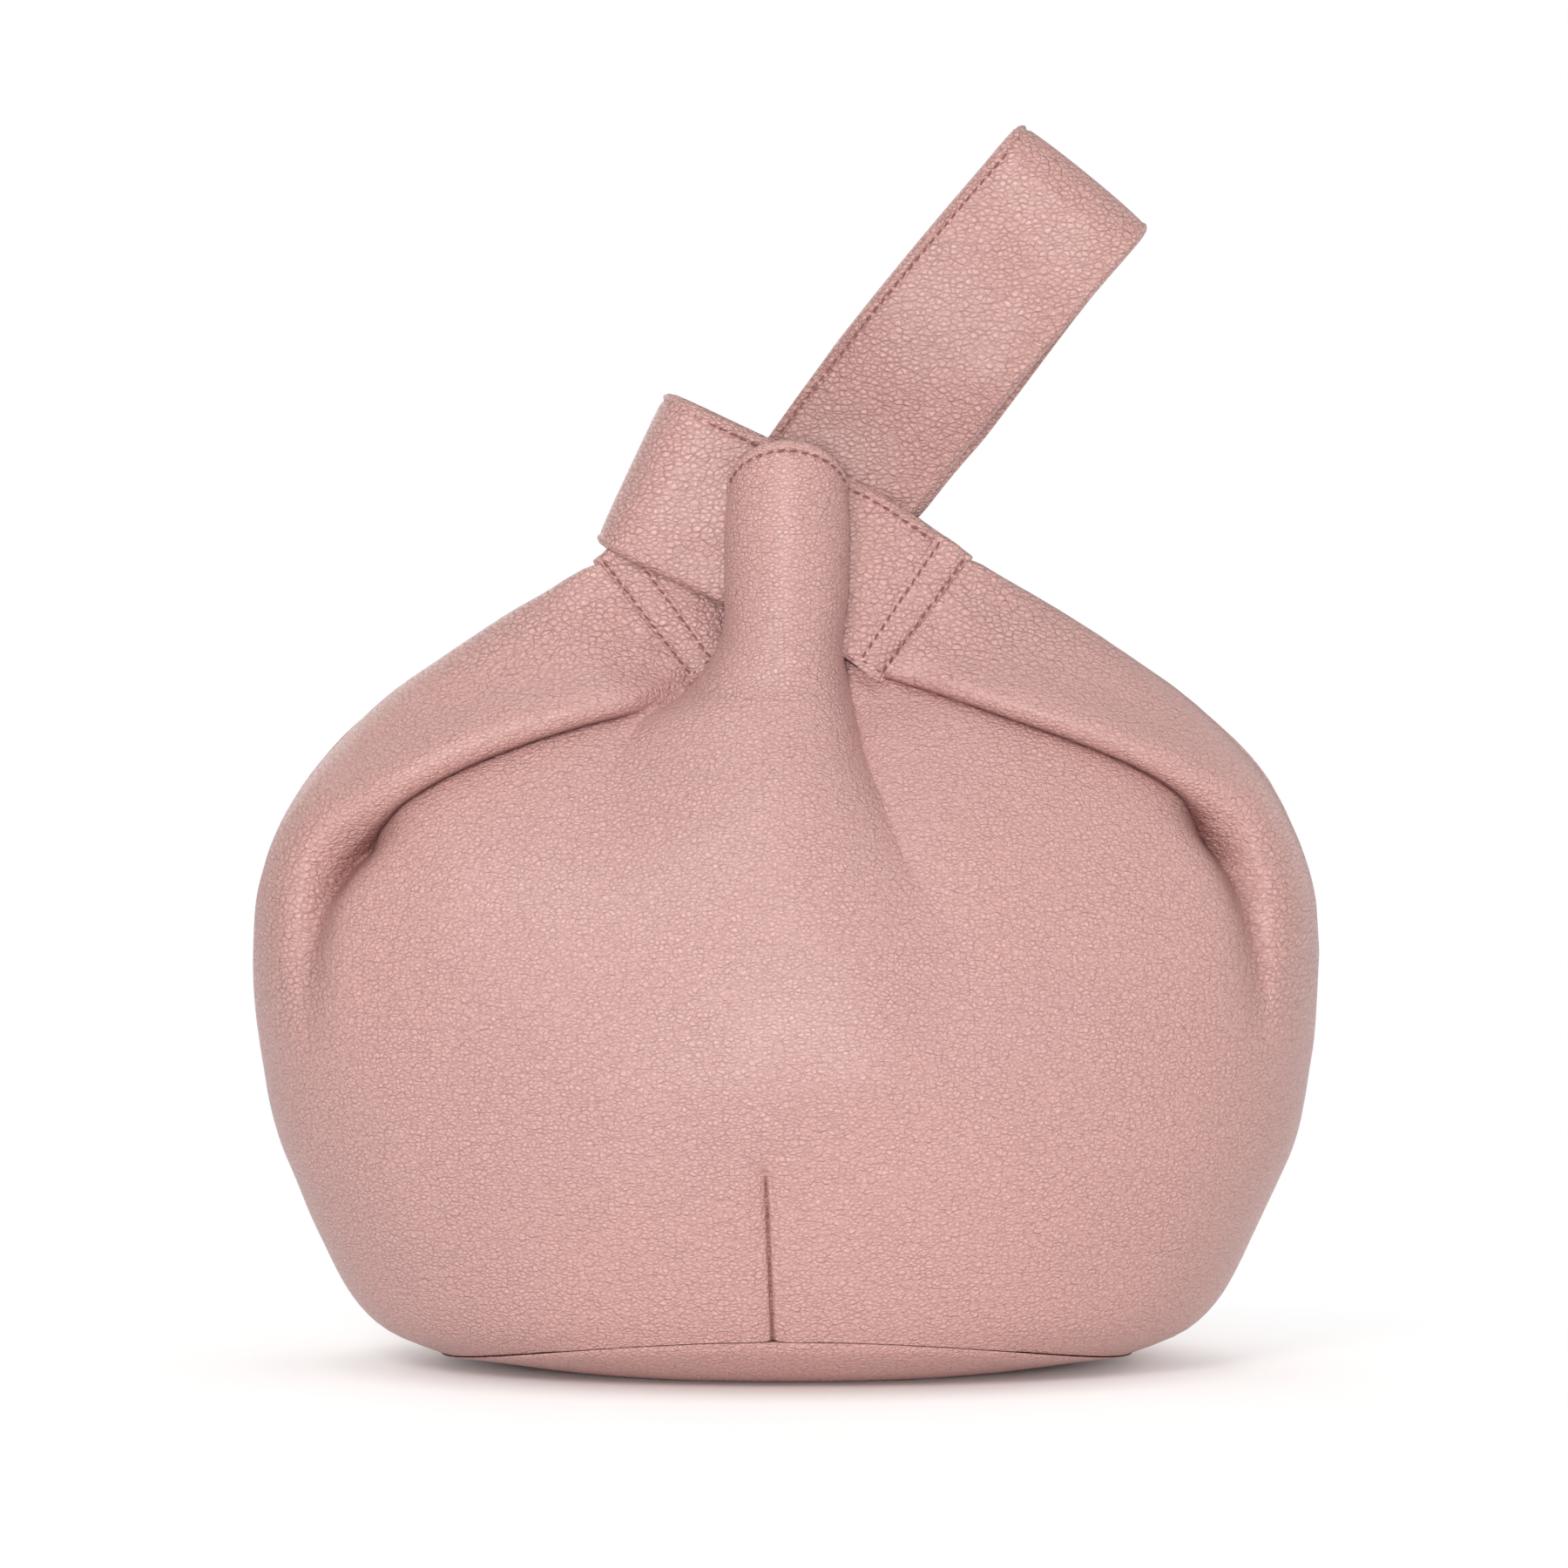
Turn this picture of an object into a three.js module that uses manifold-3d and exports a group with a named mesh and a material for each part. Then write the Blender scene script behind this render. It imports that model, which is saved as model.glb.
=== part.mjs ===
// Knot bag: a soft standing pouch whose long handle is passed through its short handle loop.
// Millimetres, +Z up, +X to the right, -Y towards the viewer. The origin is on the floor, under
// the middle of the bag. The front and the back are alike, so most pieces are made once for the
// front and mirrored through Y.
import * as THREE from 'three';
import * as BufferGeometryUtils from 'three/addons/utils/BufferGeometryUtils.js';
import Module from 'manifold-3d';

const wasm = await Module();
wasm.setup();

// Gap between pieces that touch on the real bag, and how far a cutting shape runs past its cut.
const clearance = 0.3;
const overrun = 20;

// Body: its outer size, the height of the base seam, and the leather and lining of its wall.
const bodyHeight = 214;
const bodyHalfWidth = 141;
const bodyHalfDepth = 65;
const baseSeamHeight = 9;
const panelThickness = 2;
const liningThickness = 1;
const sectionRoundness = 2.2;
const sectionSides = 28;

// Body outline from the base seam up, as shares of the height above the seam, of the half width
// and of the half depth.
const bodyProfileShares = [
  [0.0, 0.652, 0.87],
  [0.022, 0.738, 0.9],
  [0.063, 0.813, 0.93],
  [0.122, 0.868, 0.957],
  [0.225, 0.94, 0.986],
  [0.332, 0.981, 1.0],
  [0.41, 0.995, 0.978],
  [0.483, 1.0, 0.935],
  [0.551, 0.993, 0.874],
  [0.61, 0.972, 0.803],
  [0.663, 0.94, 0.72],
  [0.712, 0.897, 0.631],
  [0.775, 0.816, 0.5],
  [0.834, 0.72, 0.369],
  [0.892, 0.596, 0.272],
  [0.951, 0.461, 0.185],
  [1.0, 0.333, 0.108],
];

// Base: a shallow dish under the seam, as shares of the seam's height and of its outline.
const baseThickness = 1.8;
const baseBoardThickness = 1.6;
const baseLiningThickness = 1;
const baseProfileShares = [
  [0.0, 0.72],
  [0.23, 0.83],
  [0.57, 0.93],
  [1.0, 1.0],
];

// Tongue: the middle of the mouth hem, which bulges forward as an upright half tube.
const tongueAboveShoulders = 30.7;
const tongueFootShare = 0.832;
const tongueHalfWidth = 16;
const tongueThickness = 2.2;
const tongueTopForward = 28.5;
const tongueTopBack = 15.5;
const tongueStandOff = 12.5;
const tongueFootBack = 4.3;
const tongueArchRise = 12;
const tongueSides = 14;
const facingDepth = 34;
const facingThickness = 1;

// Upright part of the tongue, from its foot to its top: share of its rise, share of its half
// width, and how much of the way its front and its rear edges have gone to their top places.
const tongueRiseShares = [
  [0.0, 1.11, 0.0, 0.0],
  [0.12, 1.03, 0.3, 0.46],
  [0.27, 1.0, 0.57, 0.82],
  [0.48, 1.0, 0.79, 1.0],
  [0.7, 1.0, 0.92, 1.0],
  [1.0, 1.0, 1.0, 1.0],
];

// Flare of the tongue into the front of the body, from low down to the tongue's foot: share of
// the foot's height, share of the tongue's half width, share of its stand-off.
const flareShares = [
  [0.59, 2.75, -0.03],
  [0.674, 2.5, 0.2],
  [0.758, 2.16, 0.38],
  [0.843, 1.78, 0.56],
  [0.921, 1.41, 0.76],
  [0.966, 1.22, 0.88],
  [1.0, 1.11, 1.0],
];
const flareRootDepth = 6;

// Pleat: the rolled lower edge of each shoulder, as shares of the half width and the height.
const pleatRollRadius = 6.5;
const pleatRollProud = 2.6;
const pleatRollSides = 8;
const pleatLineShares = [
  [0.2, 0.872],
  [0.36, 0.837],
  [0.53, 0.793],
  [0.67, 0.742],
  [0.78, 0.688],
  [0.855, 0.632],
];

// Straps: two plies of leather, sewn to the shoulders along sloping seams.
const strapWidth = 43;
const outerPly = 1.5;
const innerPly = 1.2;
const strapThickness = outerPly + clearance + innerPly;
const seamBandWidth = 9.5;
const seamBandThickness = 1.2;
const threadWidth = 0.8;
const threadHeight = 0.5;
const threadInset = 1.9;

// Short loop: starts at the right shoulder, rises to the left and folds back on itself.
const shortSeamXShare = 0.257;
const shortSeamZShare = 0.927;
const shortLoopRise = THREE.MathUtils.degToRad(26);
const shortLoopReach = 14.5;
const shortLoopEase = 45;
const shortSeamTilt = THREE.MathUtils.degToRad(14);
const shortSeamFlare = 0.4;
const shortLoopSteps = 6;
const foldSteps = 8;

// Long handle: starts at the left shoulder, passes through the short loop and leans right.
const longSeamXShare = -0.259;
const longSeamZShare = 0.917;
const rootRise = THREE.MathUtils.degToRad(35);
const rootLengthShare = 0.749;
const rootSeamFlare = 4.5;
const rootSeamTilt = THREE.MathUtils.degToRad(13);
const rootEase = 26;
const rootEndHalfWidth = 14;
const rootBandShare = 0.2;
const longLoopLean = THREE.MathUtils.degToRad(51);
const longLoopLength = 112;
const longLoopFoldRadius = 9;
const neckLength = 22;
const neckHalfGap = 1.1;
const neckHingeClearance = 0.9;
const knotSlack = 5;
const slabColumns = 10;
const slabRows = 6;

// Colours as seen on the bag.
const leatherColour = 0xdaaba5;
const liningColour = 0xb98683;
const threadColour = 0x7a474c;
const boardColour = 0x8b7b70;

// Sizes that follow from these: the tongue's top and foot, and the straps' lengths between the
// two seams.
const half = 1 / 2;
const tongueHeight = bodyHeight + tongueAboveShoulders;
const tongueFootHeight = tongueFootShare * bodyHeight;
const seamSpacing = (shortSeamXShare - longSeamXShare) * bodyHalfWidth;
const shortLoopLength = seamSpacing + shortLoopReach;
const rootLength = rootLengthShare * seamSpacing;
const strapHalfWidth = strapWidth * half;
const neckOuter = neckHalfGap + strapThickness;
const shortLoopOuter = neckOuter + knotSlack + strapThickness;

// Finishes.
function finish(name, colour, roughness) {
  return new THREE.MeshStandardMaterial({ name, color: colour, roughness, metalness: 0 });
}
const leather = () => finish('leather', leatherColour, 0.45);
const liningCloth = () => finish('lining', liningColour, 0.8);
const thread = () => finish('thread', threadColour, 0.7);
const board = () => finish('board', boardColour, 0.9);

// Linear reading of a table of rows [place, value, value, ...] at one place.
function readTable(rows, place) {
  if (place <= rows[0][0]) {
    return rows[0].slice(1);
  }
  for (let i = 1; i < rows.length; i += 1) {
    if (place <= rows[i][0]) {
      const share = (place - rows[i - 1][0]) / (rows[i][0] - rows[i - 1][0]);
      return rows[i].slice(1).map((v, k) => rows[i - 1][k + 1] + (v - rows[i - 1][k + 1]) * share);
    }
  }
  return rows[rows.length - 1].slice(1);
}

const easeShare = (share) => {
  const t = Math.min(Math.max(share, 0), 1);
  return t * t * (3 - 2 * t);
};

// Body outline with real sizes: [height, half width, half depth].
const bodyRise = bodyHeight - baseSeamHeight;
const bodyProfile = bodyProfileShares.map(([h, w, d]) => [
  baseSeamHeight + h * bodyRise,
  w * bodyHalfWidth,
  d * bodyHalfDepth,
]);
const bodyDepthAt = (z) => readTable(bodyProfile, z)[1];

// Depth of the body's front wall at a place seen from the front.
function wallDepthAt(x, z) {
  const [halfWidth, halfDepth] = readTable(bodyProfile, z);
  const across = Math.min(Math.abs(x) / halfWidth, 1);
  return halfDepth * (1 - across ** sectionRoundness) ** (1 / sectionRoundness);
}

// Turns a list of points and triangles into a geometry whose faces point out.
function closedGeometry(points, triangles) {
  let volume = 0;
  for (const [a, b, c] of triangles) {
    volume += points[a].dot(new THREE.Vector3().crossVectors(points[b], points[c]));
  }
  const faces = volume < 0 ? triangles.map(([a, b, c]) => [a, c, b]) : triangles;
  const geometry = new THREE.BufferGeometry();
  const places = points.flatMap((p) => p.toArray());
  geometry.setAttribute('position', new THREE.Float32BufferAttribute(places, 3));
  geometry.setIndex(faces.flat());
  return geometry;
}

// Triangles between two rings. The two halves of the rings are cut along mirrored diagonals, so
// the two faces of a twisted sheet stay parallel.
function joinRings(triangles, here, next, sides) {
  for (let j = 0; j < sides; j += 1) {
    const k = (j + 1) % sides;
    if (j < sides * half) {
      triangles.push([here + j, next + j, next + k], [here + j, next + k, here + k]);
    } else {
      triangles.push([here + j, next + j, here + k], [here + k, next + j, next + k]);
    }
  }
}

// Rings of equally many points, joined in order. An open row of rings is capped at both ends.
function ringSolid(rings, closed = false) {
  const sides = rings[0].length;
  const points = rings.flat();
  const triangles = [];
  const last = closed ? rings.length : rings.length - 1;
  for (let i = 0; i < last; i += 1) {
    joinRings(triangles, i * sides, ((i + 1) % rings.length) * sides, sides);
  }
  if (!closed) {
    const end = (rings.length - 1) * sides;
    for (let j = 1; j < sides - 1; j += 1) {
      triangles.push([0, j, j + 1], [end, end + j + 1, end + j]);
    }
  }
  return closedGeometry(points, triangles);
}

// A sheet given by its outer and its inner face, each a function of two shares from 0 to 1.
function slabSolid(columns, rows, outerAt, innerAt) {
  const rings = [];
  for (let i = 0; i <= columns; i += 1) {
    const u = i / columns;
    const ring = [];
    for (let j = 0; j <= rows; j += 1) {
      ring.push(outerAt(u, j / rows));
    }
    for (let j = rows; j >= 0; j -= 1) {
      ring.push(innerAt(u, j / rows));
    }
    rings.push(ring);
  }
  const sides = rings[0].length;
  const points = rings.flat();
  const triangles = [];
  for (let i = 0; i < columns; i += 1) {
    joinRings(triangles, i * sides, (i + 1) * sides, sides);
  }
  const end = columns * sides;
  for (let j = 0; j < rows; j += 1) {
    const far = sides - 1 - j;
    triangles.push([j, j + 1, far], [j + 1, far - 1, far]);
    triangles.push([end + j, end + far, end + j + 1], [end + j + 1, end + far, end + far - 1]);
  }
  return closedGeometry(points, triangles);
}

// Boolean work on closed geometries.
function toSolid(geometry) {
  const bare = geometry.clone();
  bare.deleteAttribute('normal');
  bare.deleteAttribute('uv');
  const merged = BufferGeometryUtils.mergeVertices(bare);
  return new wasm.Manifold(new wasm.Mesh({
    numProp: 3,
    vertProperties: new Float32Array(merged.attributes.position.array),
    triVerts: new Uint32Array(merged.index.array),
  }));
}

function fromSolid(solid) {
  const mesh = solid.getMesh();
  const geometry = new THREE.BufferGeometry();
  const places = new Float32Array(mesh.vertProperties);
  geometry.setAttribute('position', new THREE.BufferAttribute(places, 3));
  geometry.setIndex(Array.from(mesh.triVerts));
  return geometry;
}

// An outline in the X-Z plane, made into a bar that runs right through the bag along Y.
function barThrough(outline) {
  const shape = new THREE.Shape(outline.map(([x, z]) => new THREE.Vector2(x, z)));
  const length = 2 * (bodyHalfDepth + overrun);
  const bar = new THREE.ExtrudeGeometry(shape, { depth: length, bevelEnabled: false });
  bar.rotateX(Math.PI * half);
  bar.translate(0, length * half, 0);
  return toSolid(bar);
}

// Section of the body at one level, drawn in by an inset.
function bodyRing(height, halfWidth, halfDepth) {
  const ring = [];
  for (let i = 0; i < sectionSides; i += 1) {
    const angle = (2 * Math.PI * i) / sectionSides;
    const c = Math.cos(angle);
    const s = Math.sin(angle);
    const power = 2 / sectionRoundness;
    ring.push(new THREE.Vector3(
      Math.sign(c) * Math.abs(c) ** power * halfWidth,
      Math.sign(s) * Math.abs(s) ** power * halfDepth,
      height,
    ));
  }
  return ring;
}

function bodyLoft(inset, lift = 0) {
  const rings = bodyProfile.map(([z, w, d]) => bodyRing(z + lift, w - inset, d - inset));
  return toSolid(ringSolid(rings));
}

// Half-oval section of the tongue: its ends lie on a rear line, its crown faces the viewer.
function tongueRing(height, halfWidth, forward, back, inset) {
  const ring = [];
  for (let i = 0; i <= tongueSides; i += 1) {
    const angle = (Math.PI * i) / tongueSides;
    ring.push(new THREE.Vector3(
      Math.cos(angle) * (halfWidth - inset),
      -back - Math.sin(angle) * (forward - inset - back),
      height,
    ));
  }
  return ring;
}

// Front and rear edge of the flare, and its half width, with real sizes.
function flareSection([heightShare, widthShare, standShare]) {
  const height = heightShare * tongueFootHeight;
  const depth = bodyDepthAt(height);
  const forward = depth + standShare * tongueStandOff;
  return [height, widthShare * tongueHalfWidth, forward, depth - flareRootDepth];
}

function flareLoft(inset) {
  const rings = flareShares.map((row) => tongueRing(...flareSection(row), inset));
  return toSolid(ringSolid(rings));
}

const footForward = flareSection(flareShares[flareShares.length - 1])[2];
const footBack = bodyDepthAt(tongueFootHeight) - tongueFootBack;

function tongueLoft(inset, backInset) {
  const rise = tongueHeight - tongueFootHeight - clearance;
  const rings = tongueRiseShares.map(([riseShare, widthShare, frontShare, rearShare]) => tongueRing(
    tongueFootHeight + clearance + riseShare * rise,
    widthShare * tongueHalfWidth,
    footForward + (tongueTopForward - footForward) * frontShare,
    footBack + (tongueTopBack - footBack) * rearShare - backInset,
    inset,
  ));
  return toSolid(ringSolid(rings));
}

// Everything above the tongue's arched top edge.
function aboveArch() {
  const spring = tongueHeight - tongueArchRise;
  const outline = [];
  for (let i = 0; i <= tongueSides; i += 1) {
    const angle = (Math.PI * i) / tongueSides;
    outline.push([
      Math.cos(angle) * (tongueHalfWidth + clearance),
      spring + Math.sin(angle) * tongueArchRise,
    ]);
  }
  const side = tongueHalfWidth + overrun;
  const top = tongueHeight + overrun;
  outline.push([-side, spring], [-side, top], [side, top], [side, spring]);
  return barThrough(outline);
}

// Places of the two shoulder seams, their run directions, and the notch that they leave.
const shortSeam = new THREE.Vector3(shortSeamXShare * bodyHalfWidth, 0, shortSeamZShare * bodyHeight);
const longSeam = new THREE.Vector3(longSeamXShare * bodyHalfWidth, 0, longSeamZShare * bodyHeight);
const shortRun = new THREE.Vector3(-Math.cos(shortLoopRise), 0, Math.sin(shortLoopRise));
const shortUp = new THREE.Vector3(Math.sin(shortLoopRise), 0, Math.cos(shortLoopRise));
const rootRun = new THREE.Vector3(Math.cos(rootRise), 0, Math.sin(rootRise));
const rootUp = new THREE.Vector3(-Math.sin(rootRise), 0, Math.cos(rootRise));

function seamPoint(seam, up, height) {
  const along = (height - seam.z) / up.z;
  return [seam.x + up.x * along, height];
}

function mouthNotch(margin) {
  const foot = tongueFootHeight - margin;
  const top = bodyHeight + overrun;
  const right = shortSeam.clone().addScaledVector(shortRun, -margin);
  const left = longSeam.clone().addScaledVector(rootRun, -margin);
  return barThrough([
    seamPoint(left, rootUp, foot),
    seamPoint(right, shortUp, foot),
    seamPoint(right, shortUp, top),
    seamPoint(left, rootUp, top),
  ]);
}

// Everything on the rear side of the side seams.
function rearHalf() {
  const side = bodyHalfWidth + overrun;
  const depth = bodyHalfDepth + overrun;
  const box = new THREE.BoxGeometry(2 * side, depth, bodyHeight + 2 * overrun);
  box.translate(0, depth * half - clearance * half, bodyHeight * half);
  return toSolid(box);
}

// The rolled lower edge of one shoulder: a tube along the pleat line, half sunk in the wall.
function pleatRoll(side) {
  const path = pleatLineShares.map(([xShare, zShare]) => {
    const x = xShare * bodyHalfWidth;
    const z = zShare * bodyHeight;
    const sunk = pleatRollRadius - pleatRollProud;
    return new THREE.Vector3(side * x, sunk - wallDepthAt(x, z), z + pleatRollRadius * half);
  });
  const rings = path.map((centre, i) => {
    const before = path[Math.max(i - 1, 0)];
    const after = path[Math.min(i + 1, path.length - 1)];
    const run = after.clone().sub(before).normalize();
    const across = new THREE.Vector3(0, 1, 0).cross(run).normalize();
    const out = across.clone().cross(run).normalize();
    const taper = i === 0 || i === path.length - 1 ? half : 1;
    const ring = [];
    for (let k = 0; k < pleatRollSides; k += 1) {
      const angle = (2 * Math.PI * k) / pleatRollSides;
      const point = centre.clone().addScaledVector(across, Math.cos(angle) * pleatRollRadius * taper);
      ring.push(point.addScaledVector(out, Math.sin(angle) * pleatRollRadius * taper));
    }
    return ring;
  });
  return toSolid(ringSolid(rings));
}

// One layer of the front wall, between two insets from the outer surface.
function frontLayer(outerInset, innerInset, withPleats) {
  let outside = bodyLoft(outerInset).add(flareLoft(outerInset));
  if (withPleats) {
    outside = outside.add(pleatRoll(-1)).add(pleatRoll(1));
  }
  const inside = bodyLoft(innerInset).add(flareLoft(innerInset));
  const margin = clearance + outerInset;
  return fromSolid(outside.subtract(inside).subtract(rearHalf()).subtract(mouthNotch(margin)));
}

function frontTongue() {
  const wall = tongueLoft(0, 0).subtract(tongueLoft(tongueThickness, tongueThickness));
  return fromSolid(wall.subtract(aboveArch()));
}

function tongueFacing() {
  const outerInset = tongueThickness + clearance;
  const innerInset = outerInset + facingThickness;
  const wall = tongueLoft(outerInset, outerInset).subtract(tongueLoft(innerInset, innerInset));
  const depth = bodyHalfDepth + overrun;
  const below = new THREE.BoxGeometry(2 * bodyHalfWidth, 2 * depth, bodyHeight);
  below.translate(0, 0, tongueHeight - facingDepth - bodyHeight * half);
  const behind = new THREE.BoxGeometry(2 * bodyHalfWidth, depth, 2 * tongueHeight);
  behind.translate(0, depth * half - tongueTopBack, tongueHeight);
  return fromSolid(wall.subtract(aboveArch()).subtract(toSolid(below)).subtract(toSolid(behind)));
}

// Thread along the tongue's arched edge, on its front face.
function tongueThread() {
  const spring = tongueHeight - tongueArchRise;
  const rings = [];
  for (let i = 1; i < 2 * tongueSides; i += 1) {
    const angle = (Math.PI * i) / (2 * tongueSides);
    const across = Math.cos(angle);
    const rise = Math.sin(angle);
    const at = (inset, lift) => {
      const x = across * (tongueHalfWidth - inset);
      const z = spring + rise * tongueArchRise - inset;
      const bulge = Math.sqrt(1 - (x / tongueHalfWidth) ** 2);
      const forward = tongueTopBack + (tongueTopForward + clearance - tongueTopBack) * bulge + lift;
      return new THREE.Vector3(x, -forward - clearance, z);
    };
    const far = threadInset + threadWidth;
    rings.push([at(threadInset, 0), at(far, 0), at(far, threadHeight), at(threadInset, threadHeight)]);
  }
  return ringSolid(rings);
}

// Base pieces: the leather dish, the stiffener that lies in it, and the lining over it.
const seamHalfWidth = bodyProfile[0][1];
const seamHalfDepth = bodyProfile[0][2];
const baseRim = baseSeamHeight - clearance;

function baseLoft(lift, reach) {
  const levels = baseProfileShares.map(([h, s]) => [h * baseRim + lift, s]);
  const [topLevel, topShare] = levels[levels.length - 1];
  levels.push([topLevel + reach, topShare]);
  const rings = levels.map(([z, s]) => bodyRing(z, s * seamHalfWidth, s * seamHalfDepth));
  return toSolid(ringSolid(rings));
}

function basePanel() {
  const above = new THREE.BoxGeometry(2 * bodyHalfWidth, 2 * bodyHalfDepth, bodyHeight);
  above.translate(0, 0, baseRim + bodyHeight * half);
  const wall = baseLoft(0, overrun).subtract(baseLoft(baseThickness, overrun));
  return fromSolid(wall.subtract(toSolid(above)));
}

function flatOval(bottom, thickness, footprintShare) {
  const width = footprintShare * seamHalfWidth - clearance;
  const depth = footprintShare * seamHalfDepth - clearance;
  return ringSolid([bodyRing(bottom, width, depth), bodyRing(bottom + thickness, width, depth)]);
}

// A strap layer's place: s along the run from the seam, w across it (up is positive), and the
// depth in front of the middle plane. Near the seam the lower edge leans out with the shoulder.
function strapPoint(seam, run, up, s, w, depth, slope) {
  const point = seam.clone().addScaledVector(run, s).addScaledVector(up, w);
  point.y = w * slope - depth;
  return point;
}

// Outer face of the short loop in front of the middle plane, and its slope across the strap.
// Under the seam band both stay as they are at the seam.
const easePastBand = (s, end) => 1 - easeShare((s - seamBandWidth) / (end - seamBandWidth));
const shortSlope = (s) => Math.sin(shortSeamTilt) * easePastBand(s, shortLoopEase);
const shortDepth = (s) => shortLoopOuter + shortSeamFlare * easePastBand(s, shortLoopEase);

function shortLoopPly(outerInset, innerInset) {
  const foldAt = shortLoopLength - shortLoopOuter;
  const ring = (s, depthOf, side, slope) => [
    [-1, outerInset], [1, outerInset], [1, innerInset], [-1, innerInset],
  ].map(([edge, inset]) => {
    const [along, depth] = depthOf(s, inset);
    const w = edge * strapHalfWidth;
    const point = strapPoint(shortSeam, shortRun, shortUp, along, w, depth, slope);
    point.y *= side;
    return point;
  });
  const straight = (s, inset) => [s, shortDepth(s) - inset];
  const places = [0];
  for (let i = 0; i <= shortLoopSteps; i += 1) {
    places.push(seamBandWidth + ((foldAt - seamBandWidth) * i) / shortLoopSteps);
  }
  const rings = places.map((s) => ring(s, straight, 1, shortSlope(s)));
  for (let i = 1; i < foldSteps; i += 1) {
    const angle = (Math.PI * i) / foldSteps;
    const round = (s, inset) => [
      s + Math.sin(angle) * (shortLoopOuter - inset),
      Math.cos(angle) * (shortLoopOuter - inset),
    ];
    rings.push(ring(foldAt, round, 1, 0));
  }
  rings.push(...places.reverse().map((s) => ring(s, straight, -1, shortSlope(s))));
  return ringSolid(rings);
}

// The band sewn over the root of a strap, between the two rows of thread.
function seamBand(seam, run, up, depthAt, slopeAt) {
  const face = (lift) => (u, v) => {
    const s = u * seamBandWidth;
    const w = (2 * v - 1) * strapHalfWidth;
    return strapPoint(seam, run, up, s, w, depthAt(s) + clearance + lift, slopeAt(s));
  };
  return slabSolid(2, 2, face(seamBandThickness), face(0));
}

// One unbroken thread: down the outer row, along the band's foot and up the inner row.
function seamThread(seam, run, up, depthAt, slopeAt) {
  const near = threadWidth;
  const far = seamBandWidth - threadWidth;
  const foot = threadInset - strapHalfWidth;
  const top = strapHalfWidth - threadInset;
  const widen = threadWidth * half;
  const corners = [
    [[near - widen, top], [near + widen, top]],
    [[near - widen, foot - widen], [near + widen, foot + widen]],
    [[far + widen, foot - widen], [far - widen, foot + widen]],
    [[far + widen, top], [far - widen, top]],
  ];
  const lift = 2 * clearance + seamBandThickness;
  const rings = corners.map(([outer, inner]) => [
    [outer, 0], [inner, 0], [inner, threadHeight], [outer, threadHeight],
  ].map(([[s, w], rise]) => strapPoint(seam, run, up, s, w, depthAt(s) + lift + rise, slopeAt(s))));
  return ringSolid(rings);
}

// Thread along the short loop's upper edge, on its front face.
function shortLoopThread() {
  const start = seamBandWidth + threadInset;
  const end = shortLoopLength - shortLoopOuter;
  const rings = [];
  for (let i = 0; i <= shortLoopSteps; i += 1) {
    const s = start + ((end - start) * i) / shortLoopSteps;
    const top = strapHalfWidth - threadInset;
    const place = (w, rise) => strapPoint(
      shortSeam, shortRun, shortUp, s, w, shortDepth(s) + clearance + rise, shortSlope(s),
    );
    rings.push([
      place(top, 0), place(top - threadWidth, 0),
      place(top - threadWidth, threadHeight), place(top, threadHeight),
    ]);
  }
  return ringSolid(rings);
}

// Root of the long handle: one layer from the left seam to the knot, gathered narrower there,
// with a hollow end that the neck turns in.
const rootEaseShare = (s) => easePastBand(s, rootEase);
const rootSlope = (s) => Math.sin(rootSeamTilt) * rootEaseShare(s);
const rootDepth = (s) => neckOuter + rootSeamFlare * rootEaseShare(s);

function handleRoot() {
  const hollow = strapHalfWidth + clearance;
  const face = (inset) => (u, v) => {
    const endW = (2 * v - 1) * rootEndHalfWidth;
    const end = rootLength - Math.sqrt(hollow ** 2 - endW ** 2);
    const past = Math.max(u - rootBandShare, 0) / (1 - rootBandShare);
    const s = Math.min(u / rootBandShare, 1) * seamBandWidth + past * (end - seamBandWidth);
    const halfWidth = strapHalfWidth + (rootEndHalfWidth - strapHalfWidth) * u;
    const w = (2 * v - 1) * halfWidth;
    return strapPoint(longSeam, rootRun, rootUp, s, w, rootDepth(s) - inset, rootSlope(s));
  };
  return slabSolid(slabColumns, slabRows, face(0), face(strapThickness));
}

// The long handle past the knot is drawn standing upright in its own group: s runs up Z from
// the knot, w runs along X, and the group then leans it to the right.
const knot = longSeam.clone().addScaledVector(rootRun, rootLength);
const lean = Math.PI * half - longLoopLean;

function handleNeck() {
  const hinge = neckOuter + neckHingeClearance;
  const face = (depth) => (u, v) => {
    const w = (2 * u - 1) * strapHalfWidth;
    const start = -Math.sqrt(Math.max(strapHalfWidth ** 2 - w ** 2, 0));
    const end = neckLength - Math.sqrt(hinge ** 2 - depth ** 2);
    return new THREE.Vector3(w, -depth, start + (end - start) * v);
  };
  return slabSolid(slabColumns, 2, face(neckOuter), face(neckHalfGap));
}

// One ply of the free loop: a band round a small nose at the knot and a wide fold at the tip.
function longLoopPly(outerInset, innerInset) {
  const tip = longLoopLength - longLoopFoldRadius;
  const slope = Math.asin((longLoopFoldRadius - neckOuter) / (tip - neckLength));
  const bend = (centre, radius, from, to) => {
    const rings = [];
    for (let i = 0; i <= foldSteps; i += 1) {
      const angle = from + ((to - from) * i) / foldSteps;
      rings.push([
        [-1, outerInset], [1, outerInset], [1, innerInset], [-1, innerInset],
      ].map(([edge, inset]) => new THREE.Vector3(
        edge * strapHalfWidth,
        -Math.cos(angle) * (radius - inset),
        centre + Math.sin(angle) * (radius - inset),
      )));
    }
    return rings;
  };
  const rings = [
    ...bend(tip, longLoopFoldRadius, -slope, Math.PI + slope),
    ...bend(neckLength, neckOuter, Math.PI + slope, 2 * Math.PI - slope),
  ];
  return ringSolid(rings, true);
}

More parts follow.
